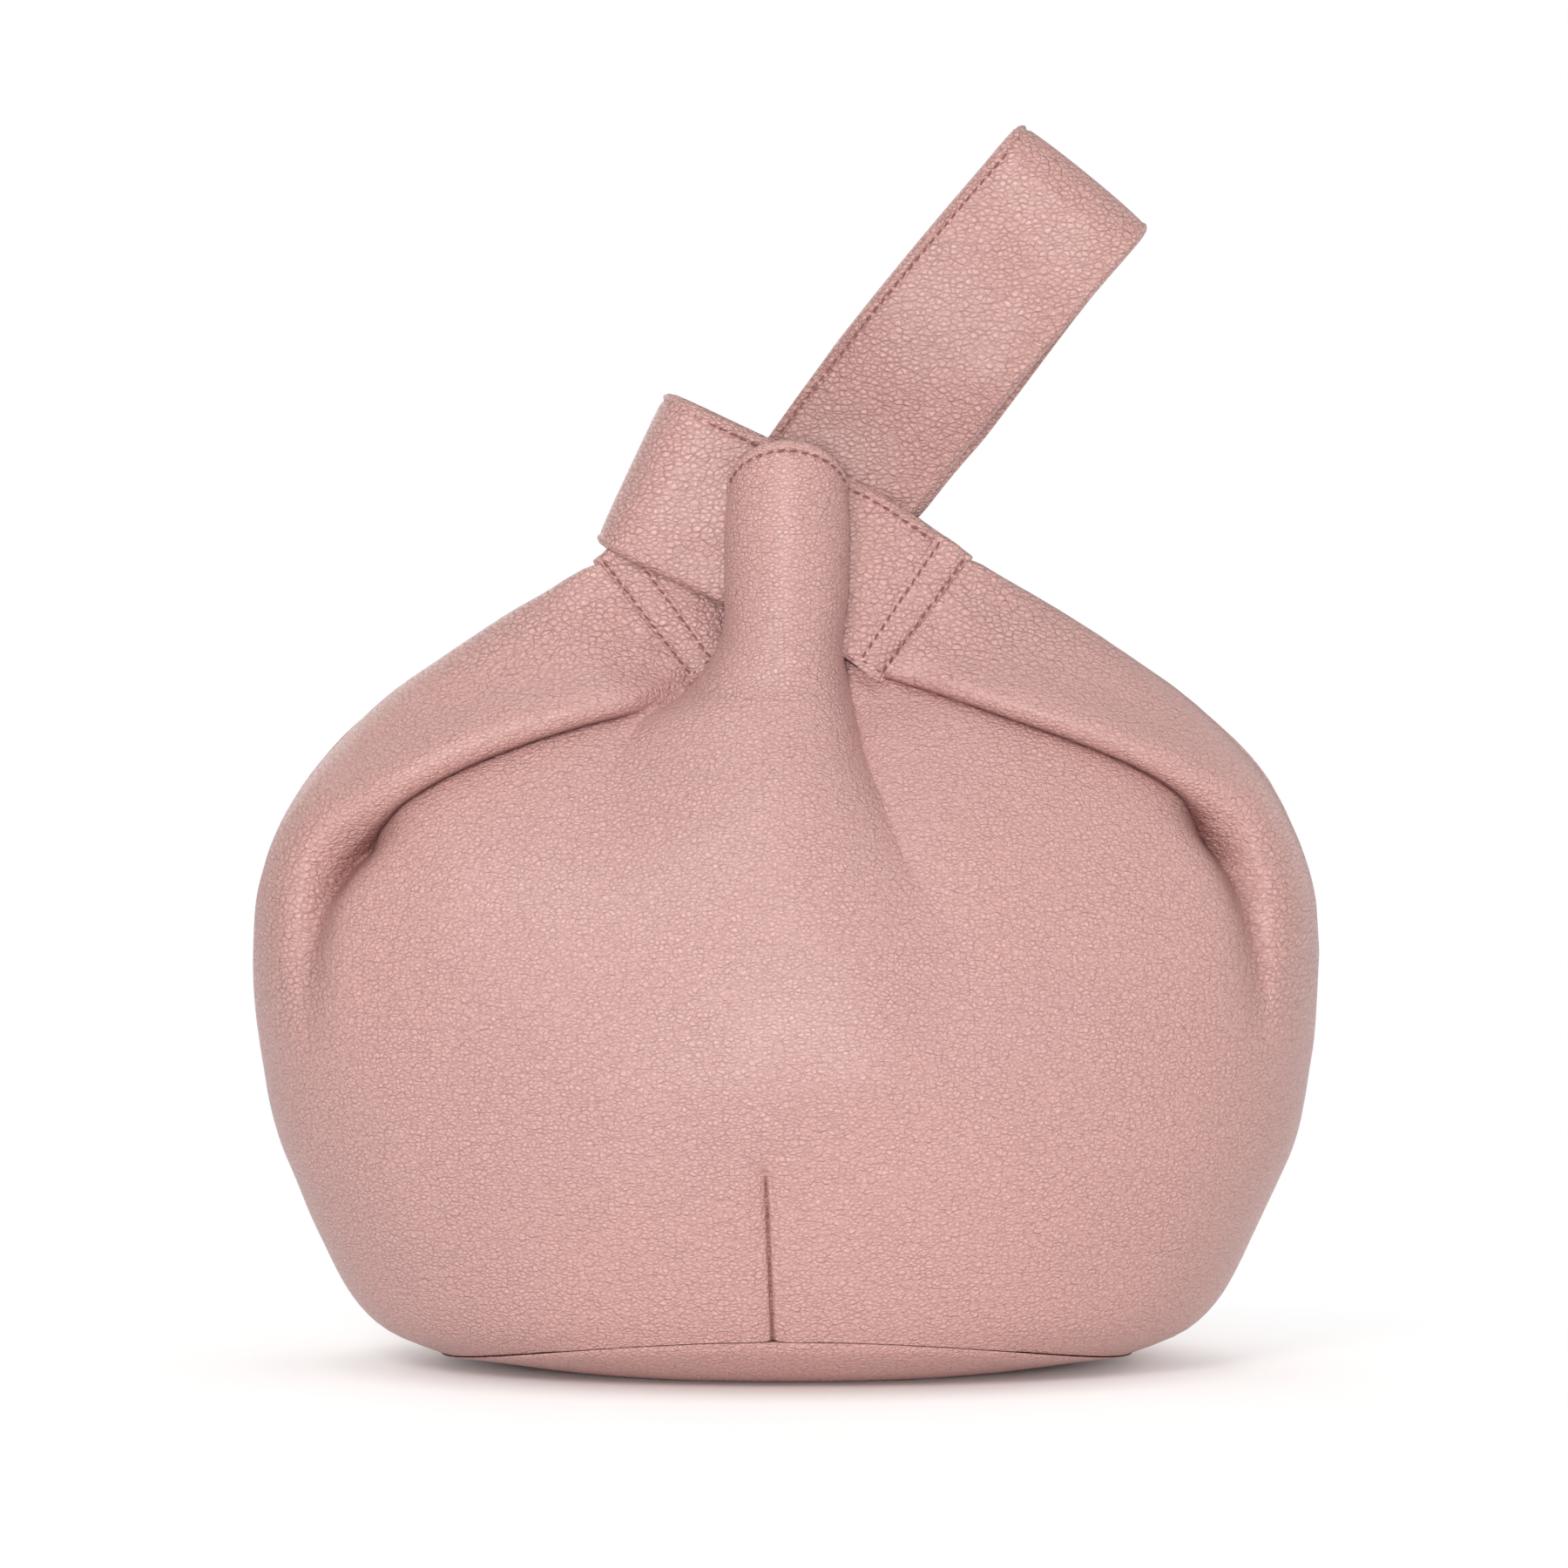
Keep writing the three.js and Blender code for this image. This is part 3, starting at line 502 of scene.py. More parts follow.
@dataclass(frozen=True)
class LeatherFinish:
    """Soft pebbled leather: rounded grains with fine creases between them, satin, slightly uneven in tone.

    The grain is coarse where the piece's attribute "coarse" is 1 and fine where it is 0. Painted shade
    darkens and reddens the colour where its attribute "fold" is above 0: in creases, pockets, the dart and
    near the knot.
    """

    name: str = "pebbled_leather"
    base: tuple[float, float, float] = linear(204, 159, 153)
    warm: tuple[float, float, float] = linear(207, 161, 153)
    cool: tuple[float, float, float] = linear(201, 158, 155)
    # painted shade: the colour towards which the grain's creases are darkened
    deep: tuple[float, float, float] = linear(158, 92, 88)
    # painted shade: the colour of creases, pockets, the dart and the strap near the knot
    shaded: tuple[float, float, float] = linear(118, 56, 53)
    sheen: tuple[float, float, float] = linear(226, 198, 214)
    coarse_grain: float = 670.0
    fine_grain: float = 870.0
    coarse_depth: float = 0.56
    fine_depth: float = 0.36
    roughness: float = 0.37
    pull_depth: float = 0.14
    speckle_depth: float = 0.1
    grain_crease_shade: float = 0.2
    painted_fold_shade: float = 0.75

    def grain(self, n: Nodes, seat: bpy.types.NodeSocket, scale: float) -> bpy.types.NodeSocket:
        """Height of one size of grain: the mean of a pillow and a dome.

        The pillow is 1 - (1 - e)^2, with e the way in from the cell's edge. The dome is 1 - d^2, with d the
        way out from its middle.

        Args:
            n: the material's nodes.
            seat: places on the leather.
            scale: grains in a metre.

        Returns:
            The height, about 0 to 1.
        """
        edge, middle = (n.add("TexVoronoi", {"Vector": seat, "Scale": scale, "Randomness": 0.95},
                              feature=feature).outputs["Distance"] for feature in ("DISTANCE_TO_EDGE", "F1"))
        short = n.remap(edge, 0.0, 0.42, 1.0, 0.0)
        out = n.times(middle, 1.25)
        both = n.plus(n.times(short, short), n.times(out, out))
        return n.less(1.0, n.times(both, 0.5))

    def build(self) -> bpy.types.Material:
        """Makes the material: two sizes of grain, pull marks, slow drifts of tone, painted shade in the
        grain's creases and painted shade where the attribute "fold" is set.

        Returns:
            The material.
        """
        n = Nodes(bpy.data.materials.new(self.name))
        where = n.add("TexCoord").outputs["Object"]
        wobble = n.noise(where, 420.0, 1.0, out="Color")
        bent = n.add("Mix", {0: 0.0013, 4: where, 5: wobble}, data_type="VECTOR").outputs[1]
        seat = n.add("Mapping", {"Vector": bent, "Scale": (0.82, 0.82, 1.22)}).outputs["Vector"]
        coarse, fine = (self.grain(n, seat, scale) for scale in (self.coarse_grain, self.fine_grain))
        level = n.add("Attribute", attribute_name="coarse").outputs["Fac"]
        patches = n.remap(n.noise(where, 34.0, 1.0), 0.3, 0.7, -0.08, 0.08)
        level = n.math("ADD", level, patches, clamp=True)
        height = n.plus(n.times(coarse, n.times(level, self.coarse_depth)),
                        n.times(fine, n.times(n.less(1.3, level), self.fine_depth)))
        height = n.plus(height, n.times(n.noise(seat, 150.0, 4.0, 0.62), self.pull_depth))
        height = n.plus(height, n.times(n.noise(where, 2600.0, 1.0), self.speckle_depth))
        drift = n.remap(n.noise(where, 8.0, 1.0), 0.35, 0.65)
        tone = n.mix(0.5, n.mix(drift, self.cool, self.warm), self.base)
        both = n.plus(n.times(coarse, level), n.times(fine, n.less(1.0, level)))
        # painted shade: the grain's creases darkened towards the deep colour
        tone = n.mix(n.remap(both, 0.25, 0.7, self.grain_crease_shade, 0.0), tone, self.deep)
        # painted shade: where the attribute "fold" is set the colour is darkened towards the shaded colour
        fold = n.add("Attribute", attribute_name="fold").outputs["Fac"]
        return n.surface({
            "Base Color": n.mix(n.times(fold, self.painted_fold_shade), tone, self.shaded),
            "Normal": n.bump(height, MM),
            "Roughness": n.remap(both, 0.35, 0.95, self.roughness + 0.14, self.roughness - 0.04),
            "Specular IOR Level": 0.8, "Specular Tint": (1.0, 0.94, 0.9),
            "Coat Weight": 0.35, "Coat Roughness": 0.38,
            "Sheen Weight": 0.05, "Sheen Roughness": 0.4, "Sheen Tint": self.sheen})


@dataclass(frozen=True)
class ThreadFinish:
    """Twisted sewing thread, matt, with the twist as slanted stripes and a slight change of tone."""

    name: str = "sewing_thread"
    light: tuple[float, float, float] = linear(152, 94, 92)
    dark: tuple[float, float, float] = linear(112, 60, 60)

    def build(self) -> bpy.types.Material:
        """Makes the material: fine bands across for the twist."""
        n = Nodes(bpy.data.materials.new(self.name))
        twist = n.bands(n.add("TexCoord").outputs["Object"], "DIAGONAL", 900.0, 1.5)
        return n.surface({"Base Color": n.mix(twist, self.dark, self.light), "Roughness": 0.7,
                          "Normal": n.bump(twist, 0.00008, 0.6), "Sheen Weight": 0.2})


@dataclass(frozen=True)
class LiningFinish:
    """Plain woven cotton lining: two crossed sets of threads."""

    name: str = "woven_lining"
    light: tuple[float, float, float] = linear(196, 146, 143)
    dark: tuple[float, float, float] = linear(158, 108, 106)

    def build(self) -> bpy.types.Material:
        """Makes the material: crossed bands, uneven thread by thread."""
        n = Nodes(bpy.data.materials.new(self.name))
        where = n.add("TexCoord").outputs["Object"]
        across, upright = (n.bands(where, direction, 420.0, 0.8) for direction in ("X", "Z"))
        weave = n.times(n.plus(across, upright), 0.5)
        slub = n.remap(n.noise(where, 60.0, 3.0), 0.4, 0.7, 0.0, 0.35)
        return n.surface({"Base Color": n.mix(slub, n.mix(weave, self.dark, self.light), self.dark),
                          "Roughness": 0.85, "Normal": n.bump(weave, 0.00012, 0.6), "Sheen Weight": 0.3})


@dataclass(frozen=True)
class BoardFinish:
    """Raw fibre board: mottled, with short pressed fibres."""

    name: str = "fibre_board"
    light: tuple[float, float, float] = linear(150, 132, 116)
    dark: tuple[float, float, float] = linear(116, 100, 90)

    def build(self) -> bpy.types.Material:
        """Makes the material: two noises for mottling and fibres."""
        n = Nodes(bpy.data.materials.new(self.name))
        where = n.add("TexCoord").outputs["Object"]
        fibres = n.noise(where, 500.0, 4.0, 0.7)
        mottled = n.times(n.plus(fibres, n.noise(where, 40.0, 2.0)), 0.5)
        return n.surface({"Base Color": n.mix(mottled, self.dark, self.light), "Roughness": 0.9,
                          "Normal": n.bump(fibres, 0.0002, 0.5)})


@dataclass
class Finishes:
    """The bag's four materials, made once, and the dressing of a piece with one of them."""

    leather: bpy.types.Material = field(default_factory=lambda: LeatherFinish().build())
    thread: bpy.types.Material = field(default_factory=lambda: ThreadFinish().build())
    lining: bpy.types.Material = field(default_factory=lambda: LiningFinish().build())
    board: bpy.types.Material = field(default_factory=lambda: BoardFinish().build())

    def dress(self, obj: bpy.types.Object, slot: str, *nodes: str) -> bpy.types.Object:
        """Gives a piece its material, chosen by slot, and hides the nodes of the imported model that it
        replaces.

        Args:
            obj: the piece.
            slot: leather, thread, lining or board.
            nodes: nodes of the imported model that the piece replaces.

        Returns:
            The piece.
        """
        obj.data.materials.append(getattr(self, slot))
        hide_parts(*nodes)
        LOG.info("%s: %d faces, replaces %s", obj.name, len(obj.data.polygons), ", ".join(nodes))
        return obj


# The body


@dataclass
class Seam:
    """The sloping line where a strap is sewn to a shoulder, seen from the front.

    Attributes:
        foot: its lower end (x, z).
        top: its upper end (x, z).
        middle_depth: how far in front of the middle plane the leather lies at its middle.
        lean: how much nearer to the middle plane the leather gets for each millimetre up the seam.
    """

    foot: tuple[float, float]
    top: tuple[float, float]
    middle_depth: float
    lean: float

    @property
    def middle(self) -> Array:
        """Its middle (x, z)."""
        return (np.array(self.foot) + np.array(self.top)) / 2

    @property
    def up(self) -> Array:
        """Unit direction from foot to top (x, z)."""
        return unit(np.subtract(self.top, self.foot))

    @property
    def length(self) -> float:
        """Its length."""
        return float(np.linalg.norm(np.subtract(self.top, self.foot)))

    def height(self, x: Array, z: Array) -> Array:
        """Place of a point up the seam, from the seam's middle."""
        return (x - self.middle[0]) * self.up[0] + (z - self.middle[1]) * self.up[1]

    def depth(self, x: Array, z: Array) -> Array:
        """Depth of the flat sheet that the shoulder is near the seam."""
        return self.middle_depth - self.lean * self.height(x, z)

    def away(self, x: Array, z: Array) -> Array:
        """Distance of a point from the seam."""
        return np.abs(Polyline([self.foot, self.top], 0).read(x, z)[0])


@dataclass
class Fold:
    """A shoulder pleat: a rolled edge over a crease that runs out to the side and down it.

    Attributes:
        line: the crease, from the middle of the bag outwards and down.
        raise_rows: height of the roll by the place along the line.
        tuck_rows: extra depth of the hollow under the roll.
        crisp_rows: how sharp the crease is, 1 for a rolled-over edge, 0 for a soft valley.
        radius_rows: radius of the roll.
        under: where on its circle the roll starts, under the crease, in degrees.
        arc_share: how far out the circle is followed, as a share of its radius.
        upper_ease: length over which the roll eases back into the wall.
        lower_ease: length over which the wall dips to the crease.
        lower_pull: length over which the wall is drawn to the crease.
        soft_reach: how far out a soft valley rises.
    """

    line: Polyline
    raise_rows: list[tuple[float, float]]
    tuck_rows: list[tuple[float, float]]
    crisp_rows: list[tuple[float, float]]
    radius_rows: list[tuple[float, float]]
    under: float = -55.0
    arc_share: float = 0.9
    upper_ease: float = 10.0
    lower_ease: float = 1.6
    lower_pull: float = 2.0
    soft_reach: float = 9.0

    def displacement(self, x: Array, z: Array) -> tuple[Array, Array, Array, Array]:
        """How far each point of the wall moves.

        On the upper side the wall follows a circle of the roll's radius from under the crease up to the
        roll's height and then eases back. On the lower side it dips towards the crease.

        Args:
            x: places across.
            z: places up.

        Returns:
            Outward move, move along the wall away from the crease, and that direction in the front view.
        """
        distance, along, gx, gz = self.line.read(x, z)
        rise = curve(self.raise_rows, along)
        tuck = curve(self.tuck_rows, along)
        crisp = curve(self.crisp_rows, along)
        rho = curve(self.radius_rows, along)
        reach = self.arc_share * rho
        low = math.radians(self.under)
        beta = low + (math.pi / 2 - low) * np.clip(distance / reach, 0, 1)
        arc_place = rho * (self.arc_share - np.cos(beta))
        arc_out = rise - rho + rho * np.sin(beta)
        crease_out = rise - rho + rho * math.sin(low)
        crease_place = rho * (self.arc_share - math.cos(low))
        past = np.maximum(distance - reach, 0)
        upper_out = np.where(distance < reach, arc_out, rise / (1 + (past / self.upper_ease) ** 2))
        upper_place = np.where(distance < reach, arc_place, distance)
        lower_out = crease_out * np.exp(np.minimum(distance, 0) / self.lower_ease)
        lower_place = distance + crease_place * np.exp(np.minimum(distance, 0) / self.lower_pull)
        rolled_out = np.where(distance >= 0, upper_out, lower_out)
        rolled_place = np.where(distance >= 0, upper_place, lower_place)
        far = np.maximum(distance - self.soft_reach, 0) / self.soft_reach
        soft_out = rise * smooth(distance, -2, self.soft_reach) / (1 + far**2)
        soft_out = soft_out - 0.35 * rise * bump(distance + 1.5, 5.0)
        out = crisp * rolled_out + (1 - crisp) * soft_out
        shift = crisp**2 * (rolled_place - distance)
        hollow = -tuck * np.where(distance < 0, bump(distance, 6.0), bump(distance, 2.5))
        return out + hollow, shift, gx, gz

    def painted_shade_share(self, x: Array, z: Array) -> Array:
        """Painted shade in the crease: how dark a point is painted, 1 under the roll and in the pocket, 0 out
        on the leather.

        Args:
            x: places across.
            z: places up.

        Returns:
            The shares.
        """
        distance, along, _, _ = self.line.read(x, z)
        under = np.maximum(distance - 0.15 * curve(self.radius_rows, along), 0)
        # painted shade: a thin dark line along the crease and a broad dark patch in the pocket
        line = curve(self.crisp_rows, along) * np.exp(np.minimum(distance, 0) / 0.7 - under / 0.5)
        pocket = np.clip(curve(self.tuck_rows, along) / 9.0, 0, 1) * bump(distance + 1.8, 5.5)
        return np.clip(line + 0.8 * pocket * (distance < 1.5), 0, 1)

    def lining_dip(self, x: Array, z: Array) -> Array:
        """How far the inner faces step back to clear the crease.

        Args:
            x: places across.
            z: places up.

        Returns:
            The steps.
        """
        distance, along, _, _ = self.line.read(x, z)
        rho = curve(self.radius_rows, along)
        rise = curve(self.raise_rows, along)
        depth = np.maximum(1.9 * rho - rise, 0) * curve(self.crisp_rows, along) + curve(self.tuck_rows, along)
        return (depth + 0.5) * bump(distance, 11.0)


@dataclass
class PouchForm:
    """The body's shape: meridians from the base seam up to the shoulders, and the tongue between them.

    A place on the front is given by t, -1 at the left side seam to 1 at the right one, and by its height.
    Each level is a superellipse |x/W|^n + |y/D|^n = 1. The middle third of the columns stands forward in
    a ridge that grows upwards into the tongue.
    """

    roundness: float = 2.2
    base_seam: float = 9.0
    leading: float = 118.0
    dart_foot: tuple[float, float] = (-3.5, 10.6)
    dart_lean: float = 0.042
    dart_fade: tuple[float, float] = (55.0, 60.5)
    dart_tip: float = 59.0
    wave_height: float = 0.55
    ripple_height: float = 0.16
    split: float = 178.05
    tongue_share: float = 0.32
    tongue_columns: int = 78
    side_columns: int = 104
    leather: float = 2.0
    width_rows: list = field(default_factory=lambda: [
        (9, 92), (13.5, 104), (22, 114.6), (34, 122.4), (48, 129.5), (62, 135), (77, 138.3), (93, 140.3),
        (108, 141), (122, 140), (134, 137), (145, 132.5), (155, 126.5), (164, 119), (172, 111), (180, 101.5),
        (188, 90), (196, 78), (204, 65), (210, 54), (214, 47.5), (217, 44)])
    depth_rows: list = field(default_factory=lambda: [
        (9, 56.5), (13.5, 58.5), (22, 60.5), (34, 62.3), (48, 63.8), (62, 64.7), (77, 65), (93, 63.6),
        (108, 60.8), (122, 56.8), (134, 52.2), (145, 46.8), (155, 41), (164, 35), (172, 29.5), (180, 24),
        (188, 19.5), (196, 15.8), (204, 12), (210, 9), (214, 7), (217, 6)])
    ridge_rows: list = field(default_factory=lambda: [
        (46, 0), (60, 0.7), (80, 1.9), (100, 3.0), (120, 4.3), (135, 6.0), (150, 7.9), (164, 10.1),
        (178, 12.5)])
    left_rows: list = field(default_factory=lambda: [
        (60, 62), (100, 60), (120, 58), (135, 54), (150, 49), (165, 43), (173, 37), (178, 28.5),
        (181, 25.2), (185, 22.0), (189, 19.4), (193, 17.6), (199, 16.3), (207, 16.4), (222, 16.3),
        (233, 15.4), (245, 15.4)])
    right_rows: list = field(default_factory=lambda: [
        (60, 62), (80, 60), (95, 55), (110, 48), (126, 38.5), (137, 31), (153, 24.5), (165, 20), (178, 17.0),
        (185, 15.6), (191, 14.6), (199, 15.4), (206, 16.2), (222, 16.3), (233, 15.8), (245, 15.8)])
    left_power_rows: list = field(default_factory=lambda: [
        (80, 2.2), (120, 2.0), (150, 1.7), (165, 1.25), (173, 0.8), (178, 0.55), (200, 0.5)])
    right_power_rows: list = field(default_factory=lambda: [
        (80, 2.2), (110, 1.9), (126, 1.6), (137, 1.2), (150, 0.9), (165, 0.66), (178, 0.52), (200, 0.5)])
    left_sink_rows: list = field(default_factory=lambda: [(120, 0), (150, 0.3), (165, 1.2), (178, 4.3)])
    right_sink_rows: list = field(default_factory=lambda: [(110, 0), (137, 1.2), (155, 2.6), (178, 4.6)])
    crown_rows: list = field(default_factory=lambda: [
        (178, 37.9), (182, 36.6), (186, 35.3), (191, 33.8), (196, 32.6), (203, 31.4), (210, 30.6),
        (225, 29.4), (240, 28.2), (246, 27.6)])
    edge_rows: list = field(default_factory=lambda: [
        (178, 20.9), (182, 19.6), (186, 18.6), (191, 17.4), (196, 16.6), (203, 15.9), (210, 15.5),
        (246, 15.4)])
    right_seam: Seam = field(default_factory=lambda: Seam((24.6, 182.2), (48.2, 214.0), 14.0, 0.242))
    left_seam: Seam = field(default_factory=lambda: Seam((-25.0, 181.6), (-49.8, 213.4), 10.3, 0.225))
    right_fold: Fold = field(default_factory=lambda: Fold(
        Polyline([(12, 188.6), (18.2, 186.2), (25.6, 182.9), (39.1, 179.2), (52, 175.0), (64.9, 170.6),
                  (77, 166.3), (90.4, 160.9), (99, 156.9), (106, 152.8), (112, 147.9), (117.5, 141.3),
                  (121.2, 133), (123.6, 124), (125, 113), (125.2, 100), (123.5, 84)]),
        [(0, 0.5), (8, 1.5), (20, 3.2), (45, 4.6), (75, 5.2), (98, 5.0), (112, 3.6), (122, 2.4), (135, 1.2),
         (150, 0.6), (165, 0.2), (178, 0)],
        [(0, 0.4), (40, 0.3), (86, 0.6), (98, 1.8), (106, 6.0), (113, 9.0), (124, 7.0), (138, 4.2),
         (158, 1.5), (175, 0)],
        [(0, 1), (98, 1), (108, 0.75), (117, 0.3), (125, 0.05), (132, 0), (175, 0)],
        [(0, 0.8), (10, 1.1), (22, 2.0), (40, 3.1), (75, 3.7), (100, 4.0), (120, 4.6), (175, 5)]))
    left_fold: Fold = field(default_factory=lambda: Fold(
        Polyline([(-123.6, 84), (-125.4, 96), (-126.2, 108), (-125.6, 119), (-124, 128), (-121.2, 134.6),
                  (-116.5, 140.6), (-109, 146.2), (-98.9, 152.6), (-88.6, 158.4), (-75.2, 164.2),
                  (-61, 168.9), (-47.6, 172.6), (-36, 175), (-26, 176.6), (-16, 178)]),
        [(0, 0), (13, 0.2), (28, 0.8), (43, 1.6), (54, 2.8), (62, 4.2), (78, 5.6), (100, 5.6), (125, 5.2),
         (145, 4.2), (156, 2.6), (168, 0.6)],
        [(0, 0), (18, 1.6), (32, 3.6), (43, 6.2), (52, 9.0), (61, 9.0), (69, 4.4), (80, 0.9), (120, 0.3),
         (168, 0.2)],
        [(0, 0), (42, 0), (50, 0.1), (58, 0.4), (66, 0.8), (74, 1), (168, 1)],
        [(0, 5), (50, 4.6), (80, 4.2), (110, 4.0), (140, 3.3), (160, 2.4), (168, 2.0)]))

    def angle(self, t: Array) -> Array:
        """Angle round the tongue of each column: -90 to 90 degrees across it, held outside it."""
        return np.clip(t / self.tongue_share, -1, 1) * math.pi / 2

    def in_tongue(self, t: Array) -> Array:
        """Whether each column is one of the tongue's."""
        return np.abs(t) <= self.tongue_share + 1e-9

    def seams(self, t: Array) -> tuple[tuple[Seam, Array], ...]:
        """Each strap seam, and which columns are on its side."""
        return (self.right_seam, t > 0), (self.left_seam, t < 0)

    def pleats(self, t: Array, x: Array, z: Array) -> list[tuple[Fold, Array]]:
        """Each pleat and its share at each place: 0 on the other side, at the tongue and at the side seam."""
        free = self.beside_tongue(t, x, z) * (1 - smooth(np.abs(t), 0.93, 1.0))
        return [(self.right_fold, (t > 0) * free), (self.left_fold, (t < 0) * free)]

    def columns(self) -> Array:
        """Places t of the grid's columns, closer together at the dart."""
        middle = np.linspace(-1, 1, self.tongue_columns + 1)
        dart = math.asin(0.068) * 2 / math.pi
        near = -dart + np.array([-1.5, -1.0, -0.65, -0.4, -0.2, 0, 0.2, 0.4, 0.65, 1.0, 1.5]) * 0.012
        middle = np.unique(np.round(np.concatenate([middle[np.abs(middle + dart) > 0.016], near]), 6))
        side = np.linspace(self.tongue_share, 1, self.side_columns + 1)[1:]
        return np.concatenate([-side[::-1], middle * self.tongue_share, side])

    def shoulder_top(self, t: Array) -> tuple[Array, Array]:
        """Upper end (x, z) of each column outside the tongue, from the seam's foot to the side.

        Args:
            t: places of the columns.

        Returns:
            x and z of the tops.
        """
        share = (np.abs(t) - self.tongue_share) / (1 - self.tongue_share)
        tops = []
        right_lead = (float(curve(self.right_rows, 189.0)), 189.0)
        left_lead = (-float(curve(self.left_rows, 188.0)), 188.0)
        for seam, lead, end in ((self.right_seam, right_lead, (49.6, 215.2)),
                                (self.left_seam, left_lead, (-50.8, 214.2))):
            line = np.array([lead, seam.foot, seam.top, end])
            along = lengths_along(line)
            tops.append(read_line(np.clip(share, 0, 1) * along[-1], along, line))
        top = np.where((t > 0)[..., None], *tops)
        return top[..., 0], top[..., 1]

    def level(self, t: Array, z: Array) -> tuple[Array, Array, Array]:
        """Half width of the body and of its tongue at a height, and the column's share of the arc between.

        Args:
            t: places of the columns.
            z: heights, of the same shape.

        Returns:
            Half width of the body, of the tongue, and the share.
        """
        wide = curve(self.width_rows, z)
        half = sided(t, z, self.left_rows, self.right_rows)
        power = self.roundness / 2
        first = np.arcsin(np.clip(half / wide, 0, 1) ** power)
        share = np.clip((np.abs(t) - self.tongue_share) / (1 - self.tongue_share), 0, 1)
        return wide, half, np.sin(first + (math.pi / 2 - first) * share) ** (1 / power)

    def column_x(self, t: Array, z: Array) -> Array:
        """Place across of a column at a height.

        Inside the tongue x is the half width times sin of the column's angle. Outside it the column keeps
        its share of the level's arc low down and is led to its own top end higher up.

        Args:
            t: places of the columns.
            z: heights, of the same shape.

        Returns:
            The places across.
        """
        wide, half, low = self.level(t, z)
        top_x, top_z = self.shoulder_top(t)
        top_wide, _, top_low = self.level(t, top_z)
        high = np.minimum(np.abs(top_x) / top_wide, 1.0)
        lead = smooth((z - self.leading) / np.maximum(top_z - self.leading, 1e-6))
        outside = np.sign(t) * wide * (low + (high - top_low) * lead)
        behind = 3.4 * np.exp(-np.maximum(np.abs(outside) - half, 0) / 4.0) * smooth(z, 174.0, 182.0)
        return np.where(self.in_tongue(t), half * np.sin(self.angle(t)), outside - np.sign(t) * behind)

    def outward(self, x: Array, z: Array) -> Array:
        """Direction out of the plain body, from the slope of |x/W|^n + |y/D|^n - 1.

        Args:
            x: places across.
            z: heights.

        Returns:
            (..., 3) unit directions on the front.
        """
        n = self.roundness
        wide, deep = curve(self.width_rows, z), curve(self.depth_rows, z)
        wide_slope, deep_slope = ((curve(rows, z + 1.5) - curve(rows, z - 1.5)) / 3.0
                                  for rows in (self.width_rows, self.depth_rows))
        share = np.clip(np.abs(x) / wide, 0, 1)
        front = np.maximum(1 - share**n, 1e-6) ** (1 / n)
        direction = np.stack([np.sign(x) * share ** (n - 1) / wide, -(front ** (n - 1)) / deep,
                              -(share**n * wide_slope / wide + front**n * deep_slope / deep)], -1)
        return unit(direction)

    def place(self, t: Array, z: Array) -> Array:
        """Smooth surface of the front before its folds.

        y = -(D (1 - |x/W|^n)^(1/n) + ridge * cos(angle)^(2 power) - sink), and near a seam the depth eases
        to the seam's flat sheet. Above the tongue's foot y = -(edge + (crown - edge) cos(angle)).

        Args:
            t: places of the columns.
            z: heights.

        Returns:
            (..., 3) places.
        """
        x = self.column_x(t, z)
        wide, deep = curve(self.width_rows, z), curve(self.depth_rows, z)
        share = np.clip(np.abs(x) / wide, 0, 1)
        depth = deep * np.maximum(1 - share**self.roundness, 0) ** (1 / self.roundness)
        angle = self.angle(t)
        power = sided(t, z, self.left_power_rows, self.right_power_rows)
        ridge = curve(self.ridge_rows, z) * np.maximum(np.cos(angle), 0) ** (2 * power)
        sink = sided(t, z, self.left_sink_rows, self.right_sink_rows)
        half = sided(t, z, self.left_rows, self.right_rows)
        inside = self.in_tongue(t)
        spread = np.where(t < 0, 10.0, 7.0)
        sunk = np.where(inside, np.abs(np.sin(angle)) ** 6, np.exp(-np.maximum(np.abs(x) - half, 0) / spread))
        body = depth + ridge - sink * sunk
        for seam, chosen in self.seams(t):
            near = (1 - smooth(seam.away(x, z), 0.0, 20.0)) * smooth(z, 168.0, 184.0) * ~inside
            body = np.where(chosen, body + (seam.depth(x, z) - body) * near, body)
        closing = smooth(np.abs(t), 0.955, 1.0)
        body = 0.01 + (body - 0.01) * (1 - closing**3)
        top_z = self.shoulder_top(t)[1]
        beside = 1 - smooth(np.abs(x), 22.0, 27.0)
        body = body - 2.2 * np.where(inside, 0.0, smooth(z, top_z - 7.0, top_z - 1.0)) * beside
        close = np.exp(-np.maximum(np.abs(x) - half + 2.0, 0) / 4.5) * smooth(z, 177.0, 184.0)
        body = body - np.where(inside, 0.0, 2.4 * close)
        crown, edge = curve(self.crown_rows, z), curve(self.edge_rows, z)
        tube = edge + (crown - edge) * np.maximum(np.cos(angle), 0) ** 0.96
        blend = smooth(z, self.split, self.split + 14)
        body = np.where(inside & (z > self.split - 1e-6), body + (tube - body) * blend, body)
        return np.stack([x, -body, z + self.seam_lift(share) * (1 - smooth(z, self.base_seam, 52.0))], -1)

    def seam_lift(self, share: Array) -> Array:
        """Lift of the base seam: it rises at the middle of the front and dips at the two sides."""
        return 4.6 - 10.2 * np.abs(share) ** 2

